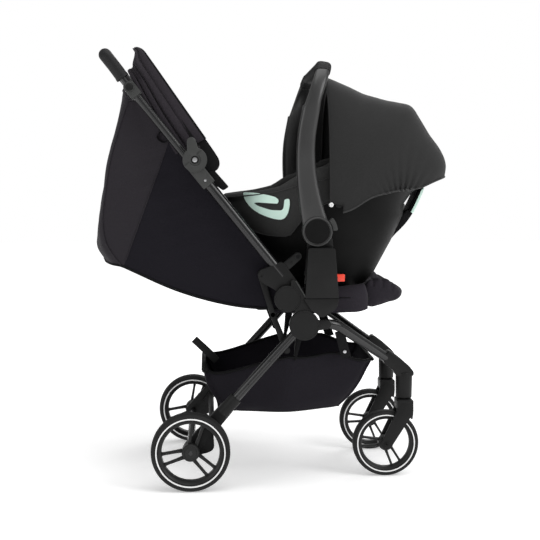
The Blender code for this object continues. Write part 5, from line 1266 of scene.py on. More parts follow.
canopy = drape(220, 64, canopy_at)
canopy_piece = piece("canopy_cloth", canopy, CANOPY_CLOTH, None, ("carrier_canopy",),
                     smooth=70)
cloth_wall(canopy_piece, 0.0012)
front_edge = [canopy_at(k / 120, 0) for k in range(121)]
hem_edge = [canopy_at(k / 160, 1) for k in range(161)]
edge_piping = piece("canopy_front_piping", rod(front_edge, 0.0015, 10), CANOPY_CLOTH, "canopy_bow")
hem_piping = piece("canopy_hem_piping", rod(hem_edge, 0.0019, 10), PIPING, "carrier")
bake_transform(canopy_piece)


def bow_arch(angle, reach, half, steps=40):
    """The line of a stiff bow under the canopy, at an angle above level."""
    way = Vector((cos(radians(angle)), 0, sin(radians(angle))))
    line = []
    for k in range(steps + 1):
        c, s = cos(pi * k / steps), sin(pi * k / steps)
        line.append(ahead(CANOPY_PIVOT[0], 0, CANOPY_PIVOT[1]) + way * (0.004 + reach * max(s, 0) ** 0.7)
                    + Vector((0, -half * squarish(c, 0.62), 0)))
    return line


hoop = rod(bow_arch(89, 0.2745, CANOPY_HALF - 0.0068), 0.0032, 14)
for side, tag in SIDES:
    eye_y = side * (CANOPY_HALF - 0.0068)
    add(hoop, round_bar(CANOPY_PIVOT, 0.008, *span(side, -0.0032, 0.003, eye_y), edge=0.0008))
piece("canopy_hoop", hoop, CASTING, "canopy_bow", ("canopy_bow",))
for side, tag in SIDES:
    stud = ((0, 0.203), (0.0052, 0.203), (0.0052, 0.2046), (0.004, 0.2056), (0.0022, 0.2058), (0.0016, 0.205),
            (0, 0.205))
    snap = turn_out(stud, 0, side, (0.312, 0.629), 28)
    piece(f"canopy_snap_{tag}", snap, RING_WHITE, "carrier")
print("canopy arches:", len(FAN))

# %% [markdown]
# Pads are cut a little small and then blown up with a cloth simulation, because foam under a sewn
# cover pulls its sides in and crowns its middle. `puff` remeshes a shape, fills it with pressure and
# limits how far any point may travel, so that the pad stays inside its place. Sewn channels and
# piping come afterwards, since the remesh would rub them out.

# %% Padding tools


def evaluated(made):
    """A bmesh of an object with its modifiers worked in."""
    bpy.context.view_layer.update()
    shown = made.evaluated_get(bpy.context.evaluated_depsgraph_get())
    shape = bmesh.new()
    shape.from_mesh(shown.to_mesh())
    shown.to_mesh_clear()
    return shape


def temporary(shape):
    """An object that stands in for a bmesh while modifiers work on it."""
    mesh = bpy.data.meshes.new("pattern")
    shape.to_mesh(mesh)
    shape.free()
    made = bpy.data.objects.new("pattern", mesh)
    bpy.context.collection.objects.link(made)
    return made


def drop(made):
    """Remove an object and its mesh."""
    mesh = made.data
    bpy.data.objects.remove(made, do_unlink=True)
    bpy.data.meshes.remove(mesh)


CLOTH_FRAMES = 20


def puff(shape, voxel=0.006, pressure=4, cap=0.006):
    """Blow a closed shape up with a short cloth simulation; nothing moves further than the cap."""
    pattern = temporary(shape)
    remesh = pattern.modifiers.new("remesh", "REMESH")
    remesh.mode, remesh.voxel_size = "VOXEL", voxel
    even = evaluated(pattern)
    drop(pattern)
    starts = [v.co.copy() for v in even.verts]
    cloth_object = temporary(even)
    cloth = cloth_object.modifiers.new("cloth", "CLOTH")
    cloth.settings.use_pressure = True
    cloth.settings.uniform_pressure_force = pressure
    cloth.settings.effector_weights.gravity = 0
    cloth.settings.quality = 5
    cloth.collision_settings.use_collision = False
    for number in range(1, CLOTH_FRAMES + 1):
        bpy.context.scene.frame_set(number)
    blown = evaluated(cloth_object)
    drop(cloth_object)
    bpy.context.scene.frame_set(1)
    blown.verts.ensure_lookup_table()
    for vert, start_at in zip(blown.verts, starts):
        move = vert.co - start_at
        if move.length > cap:
            vert.co = start_at + move.normalized() * cap
    finer = temporary(blown)
    smooth = finer.modifiers.new("smooth", "SUBSURF")
    smooth.levels = smooth.render_levels = 1
    done = evaluated(finer)
    drop(finer)
    return done


def cushion(length, half_width, thick, columns=44, rows=44, power=5, crown=0.62):
    """A crowned cushion that lies flat from x = 0 to length, its sides pulled in between the corners."""
    shape = bmesh.new()

    def sheet_of(top):
        """One face of the cushion, as rows of its vertices."""
        grid = []
        for j in range(rows + 1):
            v = j / rows
            line = []
            for i in range(columns + 1):
                u = 2 * i / columns - 1
                waist = 0.004 * (1 - abs(2 * v - 1) ** 2) * abs(u) ** 3
                x = length * v - (v - 0.5) * 0.01 * (1 - abs(u) ** 2)
                y = (half_width - 0.014 * abs(2 * v - 1) ** 8 - waist) * u
                edge = max(0, (1 - abs(u) ** power) * (1 - abs(2 * v - 1) ** power))
                z = thick * ((1 - crown) + crown * edge ** 0.5) if top else thick * 0.3 * (1 - edge ** 0.4)
                line.append(shape.verts.new((x, y, z)))
            grid.append(line)
        for a, b in zip(grid, grid[1:]):
            for k in range(columns):
                shape.faces.new((a[k], a[k + 1], b[k + 1], b[k]))
        return grid

    top, under = sheet_of(True), sheet_of(False)
    above, below = ([*g[0], *(row[-1] for row in g[1:]), *g[-1][-2::-1], *(row[0] for row in g[-2:0:-1])]
                    for g in (top, under))
    for a, b, c, d in zip(above, above[1:] + above[:1], below, below[1:] + below[:1]):
        shape.faces.new((a, c, d, b))
    face_out(shape)
    return shape


def stitch_channels(shape, lines, depth=0.0045, width=0.0045):
    """Press sewn channels into the top of a flat cushion: each line is (axis, place, start, end)."""
    for vert in shape.verts:
        if vert.normal.z < 0.15:
            continue
        for axis, place_at, first, last in lines:
            across = vert.co[axis] - place_at
            along = vert.co[1 - axis]
            if first - 0.004 < along < last + 0.004 and abs(across) < width * 3:
                vert.co.z -= depth * bell(across, 0, width)
    return shape


# %% [markdown]
# The seat is a padded cushion on a board, a backrest pad that leans back and a leg rest that rolls over
# at the front. The photograph shows their sewn channels, edged with piping.

# %% Seat, backrest and leg rest
SEAT_HALF, SEAT_Z, BOARD_T, BACK_LENGTH, BACK_ANGLE = 0.183, 0.396, 0.008, 0.372, radians(159.5)
rear_x, front_x = BACK_PIVOT[0] + 0.016, LEG_REST_PIVOT[0] - 0.031
seat_long = front_x - rear_x
seat_lines = [(0, seat_long * 0.36, -0.12, 0.12), (0, seat_long * 0.7, -0.12, 0.12),
              (1, -0.125, 0.02, seat_long - 0.02), (1, 0.125, 0.02, seat_long - 0.02)]
pad = puff(cushion(seat_long, SEAT_HALF - 0.008, 0.0215), cap=0.009)
pad.normal_update()
stitch_channels(pad, seat_lines, 0.005)
bmesh.ops.translate(pad, verts=pad.verts, vec=ahead(rear_x, 0, SEAT_Z + BOARD_T + 0.001))
seat_cushion = piece("seat_cushion", pad, SEAT_CLOTH, "frame", ("seat_pad",), smooth=70)

back_foot = ahead(BACK_PIVOT[0], 0, BACK_PIVOT[1])
back_matrix = Matrix.Translation(back_foot) @ Matrix.Rotation(-BACK_ANGLE, 4, "Y")
pad = puff(cushion(BACK_LENGTH - 0.034, SEAT_HALF - 0.006, 0.0235), cap=0.009)
pad.normal_update()
stitch_channels(pad, [(0, 0.1, -0.12, 0.12), (0, 0.205, -0.12, 0.12), (0, 0.275, -0.12, 0.12),
                      (1, -0.125, 0.02, 0.32), (1, 0.125, 0.02, 0.32)], 0.005)
bmesh.ops.transform(pad, matrix=back_matrix @ Matrix.Translation((0.03, 0, -0.0048))
                    @ Matrix.Diagonal((1, 1, -1, 1)), verts=pad.verts)
back_cushion = piece("back_cushion", pad, SEAT_CLOTH, "backrest", ("backrest_pad",), smooth=70)

LEG_OUTLINE = [(0.3955, 0.404), (0.3965, 0.427), (0.3985, 0.444), (0.406, 0.459), (0.422, 0.465),
               (0.444, 0.4655), (0.465, 0.458), (0.482, 0.441), (0.4905, 0.425), (0.483, 0.413),
               (0.456, 0.404), (0.43, 0.396), (0.415, 0.393), (0.4035, 0.3975)]
LEG_HALF = 0.125


def leg_point(turn_share, y_share):
    """A point of the leg rest: turn_share runs round its side outline, y_share from right to left."""
    at_leg = turn_share * len(LEG_OUTLINE)
    low = int(at_leg) % len(LEG_OUTLINE)
    before, a, b, after = (Vector(LEG_OUTLINE[(low + k) % len(LEG_OUTLINE)]) for k in (-1, 0, 1, 2))
    x, z = smooth_between(before, a, b, after, at_leg - int(at_leg))
    u = 2 * y_share - 1
    shrink = 1 - 0.13 * abs(u) ** 9
    crown = 0.012 * (1 - u * u) if x > 0.47 else 0
    dip = 0.03 * (1 - u * u) * max(0, z - 0.43) / 0.035
    return ahead(0.43 + (x - 0.43) * shrink + crown, LEG_HALF * u, 0.42 + (z - 0.42) * shrink - dip)


pad = bmesh.new()
loops = []
for k in range(41):
    share = 0.5 - 0.5 * cos(pi * k / 40)
    loops.append(ring_of(pad, [leg_point(j / 56, share) for j in range(56)]))
loft(pad, loops)
face_out(pad)
pad = puff(pad, voxel=0.005, cap=0.004)
pad.normal_update()
for vert in pad.verts:
    place_x = vert.co.x - AXLE_X
    if vert.normal.z > 0 or vert.normal.x > 0.5:
        for line in (0.418, 0.44, 0.462):
            vert.co -= vert.normal * 0.0026 * bell(place_x, line, 0.003)
leg_cushion = piece("leg_cushion", pad, SEAT_CLOTH, "leg_rest", ("leg_rest",), smooth=70)

# %% [markdown]
# The seat's cover wraps the board's edges, so from the side the seat looks much thicker than its pad.
# Each side is one long soft roll with a skirt: a section is lofted along the seat and closed round.

# %% Seat side rolls
ROLL = curve_through([(0.1872, 0), (0.1884, 0.012), (0.1886, 0.03), (0.1862, 0.046), (0.178, 0.0545),
                      (0.166, 0.056), (0.156, 0.05), (0.153, 0.042), (0.164, 0.04), (0.179, 0.04),
                      (0.1846, 0.036), (0.185, 0.018), (0.185, 0.0015)], 4)
for side, tag in SIDES:
    roll = bmesh.new()
    loops = []
    for k in range(49):
        share = k / 48
        x = 0.178 + 0.221 * share
        end_round = min(1, (1 - abs(2 * share - 1)) * 12) ** 0.5
        front = max(0, (share - 0.84) / 0.16) ** 2
        tall = (0.93 + 0.18 * share * share) * (0.62 + 0.38 * end_round) * (1 - 0.05 * front)
        low_z = 0.3875 + 0.007 * front + 0.001 * sin(9 * share)
        puffed = 0.001 * sin(pi * (share * 3 % 1))
        ring = [(side * (y - 0.004 * (1 - end_round) - 0.008 * front + puffed), low_z + rise * tall)
                for y, rise in ROLL]
        loops.append(ring_of(roll, [ahead(x, y, z) for y, z in ring]))
    loft(roll, loops)
    made = piece(f"seat_side_roll_{tag}", roll, SEAT_CLOTH, "frame", smooth=60)
    seam = [ahead(0.182 + 0.176 * k / 30, side * 0.1893, 0.4175 + 0.004 * k / 30) for k in range(31)]
    piece(f"seat_roll_piping_{tag}", rod(seam, 0.0011, 8), BINDING, "frame")

# %% [markdown]
# The head hugger in the carrier is a soft horseshoe pad. The harness is flat webbing: two shoulder
# straps with sleeves come out beside it and meet a buckle on a short strap between the legs.

# %% Head hugger and harness
HEAD_LOW, HEAD_HIGH = Vector((0.43, 0, 0.505)), Vector((0.515, 0, 0.62))
HEAD_WAY = (HEAD_HIGH - HEAD_LOW).normalized()
HEAD_OUT = Vector((-HEAD_WAY.z, 0, HEAD_WAY.x))
SECTION = curve_through([(-1, 0.052), (-0.92, 0.06), (-0.8, 0.04), (-0.45, 0.022), (0, 0.018), (0.45, 0.022),
                         (0.8, 0.04), (0.92, 0.06), (1, 0.052), (0.95, 0.012), (0.5, 0.001), (-0.5, 0.001),
                         (-0.95, 0.012), (-1, 0.048)], 4)[:-1]
pad = bmesh.new()
loops = []
for k in range(25):
    t = 2 * k / 24 - 1
    round_end = 1 - 0.25 * abs(t) ** 3
    full = 1 - 0.45 * abs(t) ** 8
    centre = HEAD_LOW.lerp(HEAD_HIGH, (t + 1) / 2) + Vector((AXLE_X, 0, 0))
    loops.append(ring_of(pad, [centre + Vector((0, 0.096 * round_end * y, 0))
                               + HEAD_OUT * (0.0098 + lift * full) for y, lift in SECTION]))
loft(pad, loops)
face_out(pad)
pad = puff(pad, voxel=0.005, cap=0.004)
hugger = piece("head_hugger", pad, CARRIER_CLOTH, "carrier", ("carrier_headrest",), smooth=70)


def webbing(points, wide, thick_by=0.0014, steps=8, flat_to=(0, 1, 0)):
    """A flat woven strap along a smooth line; flat_to is the direction of its width."""
    line = curve_through(points, steps)
    width_way = Vector(flat_to).normalized()
    shape = bmesh.new()
    left = [shape.verts.new(p - width_way * wide / 2) for p in line]
    right = [shape.verts.new(p + width_way * wide / 2) for p in line]
    for a, b, c, d in zip(left, left[1:], right, right[1:]):
        shape.faces.new((a, b, d, c))
    face_out(shape)
    bmesh.ops.solidify(shape, geom=shape.faces[:], thickness=thick_by)
    return shape


straps = bmesh.new()
for side, tag in SIDES:
    add(straps, webbing([ahead(0.47, side * 0.04, 0.602), ahead(0.42, side * 0.042, 0.564),
                         ahead(0.36, side * 0.036, 0.508), ahead(0.305, side * 0.02, 0.49)], 0.026))
    add(straps, webbing([ahead(0.305, side * 0.14, 0.51), ahead(0.304, side * 0.1, 0.487),
                         ahead(0.304, side * 0.06, 0.486), ahead(0.304, side * 0.02, 0.49)], 0.026,
                        flat_to=(1, 0, 0)))
add(straps, webbing([ahead(0.26, 0, 0.47), ahead(0.272, 0, 0.48), ahead(0.288, 0, 0.489)], 0.028))
piece("harness_webbing", straps, BINDING, "carrier")
sleeves = bmesh.new()
for side, tag in SIDES:
    add(sleeves, webbing([ahead(0.456, side * 0.041, 0.596), ahead(0.42, side * 0.042, 0.567),
                          ahead(0.37, side * 0.038, 0.521)], 0.044, 0.006))
bevel(sleeves, rims_of(sleeves), 0.002, 3)
sleeve_pads = piece("harness_sleeves", sleeves, CARRIER_CLOTH, "carrier", smooth=50)
buckle = slab([(0.284, 0.486), (0.326, 0.486), (0.326, 0.499), (0.284, 0.499)], -0.021, 0.021, 0.004, 0.003,
              4, 3)
piece("harness_buckle", buckle, CASTING, "carrier")
button = slab([(0.296, 0.4985), (0.31, 0.4985), (0.31, 0.501), (0.296, 0.501)], -0.008, 0.008, 0, 0.001)
piece("harness_button", button, RED, "carrier")

# %% [markdown]
# The seat bag is two flat side panels, hung from the handle tubes, and a rear panel that bulges out
# behind. The rear cloth is slightly lighter and wraps a hand's width round the sides, to a straight
# seam that leans back. The lower edge is bound, and the cloth between its seams is never quite flat.

# %% Seat bag
PANEL_Y = 0.197
BAG_ROWS = ((COLLAR_REACH - 0.03, -0.13, 0.856, -0.156, 0.89), (0.42, -0.15, 0.8, -0.168, 0.825),
            (0.34, -0.171, 0.73, -0.189, 0.745), (0.265, -0.183, 0.66, -0.202, 0.67),
            (0.19, -0.19, 0.6, -0.213, 0.605), (0.12, -0.186, 0.555, -0.219, 0.556),
            (0.06, -0.172, 0.525, -0.219, 0.528), (None, -0.15, 0.496, -0.203, 0.501))
controls = []
for i, (reach, rear_x_at, rear_z, bulge_x, bulge_z) in enumerate(BAG_ROWS):
    hang = on_tube(reach, 0, -0.002) if reach else ahead(0.218, 0, 0.396)
    front = Vector((hang.x - AXLE_X, 0.2026 if i < 5 else PANEL_Y, hang.z))
    back = Vector((rear_x_at, PANEL_Y - 0.002, rear_z))
    middle = Vector((bulge_x + 0.0075, 0.075, bulge_z))
    sag = Vector((0, 0, -0.022 if reach is None else 0))
    side_points = [front, front.lerp(back, 0.33) + sag, front.lerp(back, 0.66) + sag, back]
    for k in (1, 2):
        side_points[k].y = PANEL_Y
    near, far = back.lerp(middle, 0.45), back.lerp(middle, 0.8)
    near.y, far.y = PANEL_Y - 0.02, PANEL_Y - 0.065
    controls.append(side_points + [near, far, middle, Vector((bulge_x, 0, bulge_z))])
BAG_COLUMNS = [curve_through([row[k] for row in controls], 9) for k in range(8)]


def bag_point(u, v):
    """A point of the bag: u runs round it from the right tube to the left one, v from its top down."""
    half, flip = (u * 2, -1) if u <= 0.5 else (2 - u * 2, 1)
    row = v * (len(BAG_COLUMNS[0]) - 1)
    low = min(int(row), len(BAG_COLUMNS[0]) - 2)
    ring = [column[low].lerp(column[low + 1], row - low) for column in BAG_COLUMNS]
    if half <= 0.56:
        knots, t = ring[:4], half / 0.56 * 3
    else:
        knots, t = ring[3:], (half - 0.56) / 0.44 * 4
    low = min(int(t), len(knots) - 2)
    t -= low
    a, b = knots[low], knots[low + 1]
    before = knots[low - 1] if low else a * 2 - b
    beyond = b * 2 - a if half <= 0.56 else Vector((a.x, -a.y, a.z))
    after = knots[low + 2] if low + 2 < len(knots) else beyond
    x, y, z = smooth_between(before, a, b, after, t)
    loose = sin(pi * min(half / 0.56, 1)) * sin(pi * v)
    y += loose * (0.0016 * sin(9 * x * 6 + 5 * z * 6) + 0.001 * sin(31 * z * 5 - 12 * x * 4) - 0.003)
    if half > 0.56:
        soft = sin(pi * (half - 0.56) / 0.88) * sin(pi * v)
        x += soft * (0.0022 * sin(26 * z * 2 + 11 * y * 3) + 0.0014 * sin(60 * y))
    return ahead(x, flip * y, z)


SEAM_TOP, SEAM_FOOT = ahead(-0.048, 0, 0.756), ahead(-0.14, 0, 0.508)
SEAM_SIDE = (SEAM_TOP - SEAM_FOOT).cross(Vector((0, 1, 0))).normalized()
if SEAM_SIDE.x < 0:
    SEAM_SIDE = -SEAM_SIDE
bag = drape(120, 72, bag_point)
bmesh.ops.bisect_plane(bag, geom=bag.verts[:] + bag.edges[:] + bag.faces[:], plane_co=SEAM_TOP,
                       plane_no=SEAM_SIDE)
bag_piece = piece("bag_cloth", bag, REAR_CLOTH, "handle_frame", ("seat_bag",), smooth=48)
bag_piece.data.materials.append(SIDE_CLOTH)
for face in bag_piece.data.polygons:
    if (face.center - SEAM_TOP).dot(SEAM_SIDE) > 0:
        face.material_index = 1
cloth_wall(bag_piece, 0.0011)


def bag_line(points, off=0.0009):
    """Points of the bag, each pushed a little out of its cloth."""
    line = []
    for u, v in points:
        here = bag_point(u, v)
        along = bag_point(min(u + 0.004, 1), v) - bag_point(max(u - 0.004, 0), v)
        down = bag_point(u, min(v + 0.004, 1)) - bag_point(u, max(v - 0.004, 0))
        out = along.cross(down).normalized()
        if out.dot(here - ahead(0, 0, 0.62)) < 0:
            out = -out
        line.append(here + out * off)
    return line


lower = rod(bag_line([(k / 120, 1) for k in range(121)], 0), 0.0028, 10)
bag_binding = piece("bag_binding", lower, BINDING, "handle_frame")
upper = rod(bag_line([(0.16 + 0.68 * k / 80, 0) for k in range(81)], 0), 0.002, 10)
bag_hem = piece("bag_hem", upper, REAR_CLOTH, "handle_frame")
corner_seams = bmesh.new()
for u in (0.28, 0.72):
    add(corner_seams, rod(bag_line([(u, k / 70) for k in range(71)], 0.0004), 0.0014, 8))
bag_seams = piece("bag_corner_seams", corner_seams, REAR_CLOTH, "handle_frame")


def bag_side_at(x, z):
    """The y of the bag's right side near a side-view place, found by walking over its grid."""
    return min((abs(p.x - AXLE_X - x) + abs(p.z - z), p.y) for p in BAG_SAMPLES)[1]


BAG_SAMPLES = [bag_point(0.28 * i / 30, j / 60) for i in range(31) for j in range(61)]
wrap_line = []
for k in range(41):
    spot = SEAM_TOP.lerp(SEAM_FOOT, 0.02 + 0.98 * k / 40)
    wrap_line.append((spot.x - AXLE_X, bag_side_at(spot.x - AXLE_X, spot.z), spot.z))
wraps = bmesh.new()
for side, tag in SIDES:
    add(wraps, rod([ahead(x, -side * y + side * 0.0009, z) for x, y, z in wrap_line], 0.0011, 8))
bag_wraps = piece("bag_wrap_seams", wraps, REAR_CLOTH, "handle_frame")

# %% [markdown]
# The hood is folded back. Its cap shows as a smooth strip, and the cloth between the bows is tucked into
# long creases that run from the hinge to the top. A broad black band edges the front and ends in a
# rounded flap below the hinge.

# %% Hood cloth
HOOD_REACH, HOOD_HALF = 0.283, 0.201


def hood_arch_point(share, inset=0):
    """Reach and y at a share of the way round the hood's arch, from the right hinge to the left."""
    top, half, corner = HOOD_REACH - inset, HOOD_HALF - inset, 0.085
    leg, bend, across = top - corner - 0.03, corner * pi / 2, 2 * (half - corner)
    at_arch = share * (2 * leg + 2 * bend + across)
    if at_arch > leg + bend + across / 2:
        reach, y = hood_arch_point(1 - share, inset)
        return reach, -y
    if at_arch <= leg:
        return 0.03 + at_arch, -half
    if at_arch <= leg + bend:
        a = (at_arch - leg) / corner
        return top - corner + corner * sin(a), -half + corner - corner * cos(a)
    return top, -half + corner + (at_arch - leg - bend)


FOLDS = [(1, 0), (0.9, -0.0014), (0.78, -0.0014), (0.7, 0.0002), (0.665, 0.003), (0.63, 0.0004),
         (0.52, -0.0014), (0.42, -0.0004), (0.375, 0.0064), (0.33, 0.0004), (0.25, -0.0004), (0.19, 0.0006),
         (0.165, 0.005), (0.14, 0.0006), (0.06, -0.0002), (0, 0.003), (0.02, 0.015), (0.14, 0.006),
         (0.33, 0.016), (0.5, 0.007), (0.66, 0.016), (0.83, 0.007), (0.97, 0.014), (0.985, 0.003)]
FOLD_LINE = curve_through(FOLDS, 4)


def hood_edges(reach):
    """How far the folded hood's front and back edges stand off the hinge line at a reach."""
    near_tip = min(1, max(0, (reach - 0.245) / 0.035))
    front = 0.0462 - 0.12 * reach - 0.01 * max(0, (reach - 0.258) / 0.025) ** 2
    closing = near_tip * near_tip * (3 - 2 * near_tip)
    back = -0.029 - 0.009 * sin(pi / 2 * min(reach / 0.15, 1)) + 0.029 * closing
    return front, back


def hood_cloth_point(u, v):
    """A point of the folded hood: u runs round the arch, v along the folds from front to back and in."""
    at_fold = v * (len(FOLD_LINE) - 1)
    low = min(int(at_fold), len(FOLD_LINE) - 2)
    off_share, depth = FOLD_LINE[low].lerp(FOLD_LINE[low + 1], at_fold - low)
    around = 1 - abs(2 * u - 1)
    soft = min(1, max(0, around - 0.1) * 3)
    if depth > 0.002 and off_share > 0.1:
        depth *= 0.45 + 0.55 * sin(pi * (around * (1.35 + off_share) % 1)) ** 2
    reach, y = hood_arch_point(u, max(depth, -0.004))
    far = max(0, reach / HOOD_REACH)
    behind = min(1, max(0, (0.4 - off_share) / 0.14))
    reach *= 1 - 0.125 * behind * far ** 3
    front, back = hood_edges(reach)
    wander = 0.02 * sin(2 * pi * around * 1.7 + 9 * off_share) * off_share * (1 - off_share) * 4 * soft
    return hood_point(reach, y, back + (front - back) * (off_share + wander))


hood = drape(160, 92, hood_cloth_point)
hood_piece = piece("hood_cloth", hood, HOOD_CLOTH, None, ("hood_fabric",), smooth=60)
cloth_wall(hood_piece, 0.0008, 0)
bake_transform(hood_piece)
edge_band = bmesh.new()
loops = []
for k in range(111):
    u = k / 110
    reach, y = hood_arch_point(u, -0.0012)
    inner_reach, inner_y = hood_arch_point(u, 0.004)
    front = hood_edges(reach)[0]
    wide = 0.0045 + 0.023 * min(1, max(0, (0.19 - reach) / 0.155))
    ring = [hood_point(reach, y, front + off) for off in (-wide, 0.0012)]
    ring += [hood_point(inner_reach, inner_y, front + off) for off in (0.0016, -0.003)]
    loops.append(ring_of(edge_band, ring))
loft(edge_band, loops)
hood_band = piece("hood_front_band", edge_band, BINDING, "hood", smooth=40)
flaps = bmesh.new()
FLAP = [(0.05, 0.0398), (0, 0.0458), (-0.0245, 0.0478), (-0.0385, 0.0405), (-0.043, 0.028), (-0.034, 0.006),
        (0, -0.002), (0.05, -0.001)]
TAIL = [(-0.04, 0.027), (-0.086, 0.0377), (-0.088, 0.023), (-0.056, 0.006), (-0.033, 0.004)]
tails = bmesh.new()
for side, tag in SIDES:
    flap, tail = ([side_place(hood_point(r, 0, off)) for r, off in line] for line in (FLAP, TAIL))
    add(flaps, slab(flap, *span(side, 0.196, 0.1982), [0, 0.006, 0.02, 0.02, 0.006, 0.01, 0, 0], 0.0009))
    add(tails, slab(tail, *span(side, 0.199, 0.201), [0.002, 0.003, 0.004, 0.006, 0.004], 0.0008))
piece("hood_tails", tails, BINDING, "handle_frame", smooth=40)
hood_flaps = piece("hood_flaps", flaps, BINDING, "hood", smooth=40)
bow_line = []
for k in range(81):
    reach, y = hood_arch_point(k / 80, 0.0199)
    if reach > 0.045:
        bow_line.append(hood_point(reach, y, 0.02 - 0.012 * reach / HOOD_REACH))
foot = hood_point(0.02, -(CASTING_Y + 0.0022), 0.02)
first = Vector((foot.x, bow_line[0].y, foot.z))
hoop_line = [foot, first] + bow_line + [Vector((first.x, -first.y, first.z)),
                                        Vector((foot.x, -foot.y, foot.z))]
piece("hood_hoop", rod(bend_path(hoop_line, 0.006, 3), 0.0036, 14), TUBE_PAINT, "hood", ("hood_bow",))

# %% [markdown]
# The basket hangs from the cross shaft and the front legs. Its rim is bound, its floor sags a little
# and two snap tabs hold its front. A rubber pull tab stands up at the rear.

# %% Basket
BASKET = (((0.029, 0.25, 0.15), (0.22, 0.287, 0.178), (0.42, 0.27, 0.13)),
          ((0.033, 0.226, 0.1485), (0.22, 0.252, 0.1755), (0.408, 0.248, 0.13)),
          ((0.044, 0.202, 0.145), (0.22, 0.215, 0.169), (0.392, 0.218, 0.129)),
          ((0.064, 0.174, 0.139), (0.22, 0.176, 0.16), (0.37, 0.185, 0.124)),
          ((0.096, 0.1545, 0.128), (0.22, 0.156, 0.149), (0.345, 0.159, 0.116)))


def basket_ring(line):
    """Places round one level of the basket, as (x, y, z)."""
    (xa, za, wa), (xm, zm, wm), (xb, zb, wb) = line
    half = [(xa, wa - 0.03, za), (xa + 0.012, wa - 0.008, za), (xa + 0.045, wa, za), (xm, wm, zm),
            (xb - 0.045, wb + 0.012, zb), (xb - 0.01, wb - 0.008, zb), (xb, wb - 0.032, zb)]
    knots = [Vector(p) for p in half + [(x, -y, z) for x, y, z in reversed(half)]]
    ring = []
    for k in range(len(knots)):
        a, b, c, d = (knots[(k + n) % len(knots)] for n in (-1, 0, 1, 2))
        straight = (c - b).length >= 0.13
        ring += [b.lerp(c, step / 8) if straight else smooth_between(a, b, c, d, step / 8)
                 for step in range(8)]
    return ring


RINGS = [basket_ring(line) for line in BASKET]


def basket_point(u, v):
    """A point of the basket's wall: u runs round it, v from the rim to the floor's edge."""
    at_ring = v * (len(RINGS) - 1)
    low = min(int(at_ring), len(RINGS) - 2)
    knots = [RINGS[min(max(low + n, 0), len(RINGS) - 1)] for n in (-1, 0, 1, 2)]
    place_at = (u % 1) * len(RINGS[0])
    k, t_u = int(place_at) % len(RINGS[0]), place_at - int(place_at)
    a, b, c, d = (ring[k].lerp(ring[(k + 1) % len(ring)], t_u) for ring in knots)
    x, y, z = smooth_between(a, b, c, d, at_ring - low)
    rim = max(0, 1 - v * 3)
    lift = 0.016 * bell(x, 0.325, 0.045) - 0.003 * bell(x, 0.1, 0.05)
    slack = sin(pi * v)
    y += (0.0016 * sin(70 * x + 30 * z) + 0.001 * sin(41 * x - 64 * z)) * slack * (1 if y > 0 else -1)
    return ahead(x, y, z + lift * rim * (1 if abs(y) > 0.09 else 0.4))


AROUND = 140
cloth = bmesh.new()
loops = []
for j in range(25):
    loops.append(ring_of(cloth, [basket_point(k / AROUND, j / 24) for k in range(AROUND)]))
middle = ahead(0.218, 0, 0.152)
for share in (0.93, 0.84, 0.72, 0.58, 0.42, 0.25, 0.1):
    ring = []
    for k in range(AROUND):
        edge = basket_point(k / AROUND, 1)
        here = middle.lerp(edge, share)
        here.z += -0.0035 * (1 - share ** 2) + 0.0012 * sin(60 * here.x) * sin(50 * here.y) * (1 - share)
        ring.append(here)
    loops.append(ring_of(cloth, ring))
loft(cloth, loops, caps=False)
close_holes(cloth, loops[-1])
basket_piece = piece("basket_cloth", cloth, BASKET_CLOTH, "frame", ("basket",), smooth=60)
cloth_wall(basket_piece, 0.0014)
rim_line = [basket_point(k / AROUND, 0) for k in range(AROUND + 1)]
basket_rim = piece("basket_rim", rod(rim_line, 0.003, 10, flat=1.6), BINDING, "frame")
floor_seam = [basket_point(k / AROUND, 0.995) for k in range(AROUND + 1)]
basket_seam = piece("basket_seam", rod(floor_seam, 0.0012, 8), PIPING, "frame")
hangers = bmesh.new()
for side, tag in SIDES:
    add(hangers, belt(LEG_PIVOT, 0.0105, (0.235, 0.28), 0.0022, *span(side, 0.154, 0.178), 0.0006))
    tab = [ahead(0.3525, side * 0.169, 0.283), ahead(0.347, side * 0.177, 0.299),
           ahead(0.34, side * 0.188, 0.322), ahead(0.332, side * 0.201, 0.348)]
    add(hangers, webbing(tab, 0.022, 0.0018, 8, (0.94, 0, 0.34)))
basket_straps = piece("basket_straps", hangers, BINDING, "frame")
snaps = bmesh.new()
for side, tag in SIDES:
    add(snaps, rivet((0.347, 0.298), side * 0.1778, side, 0.0042, 0.0022))
piece("basket_snaps", snaps, STEEL, "frame")
pull = webbing([ahead(0.06, 0, 0.25), ahead(0.0489, 0, 0.2627), ahead(0.028, 0, 0.283),
                ahead(0.0065, 0, 0.3034)], 0.018, 0.004, 8, (0.69, 0, 0.72))
bevel(pull, rims_of(pull), 0.0008, 2)
piece("basket_pull_tab", pull, TYRE_RUBBER, "frame")
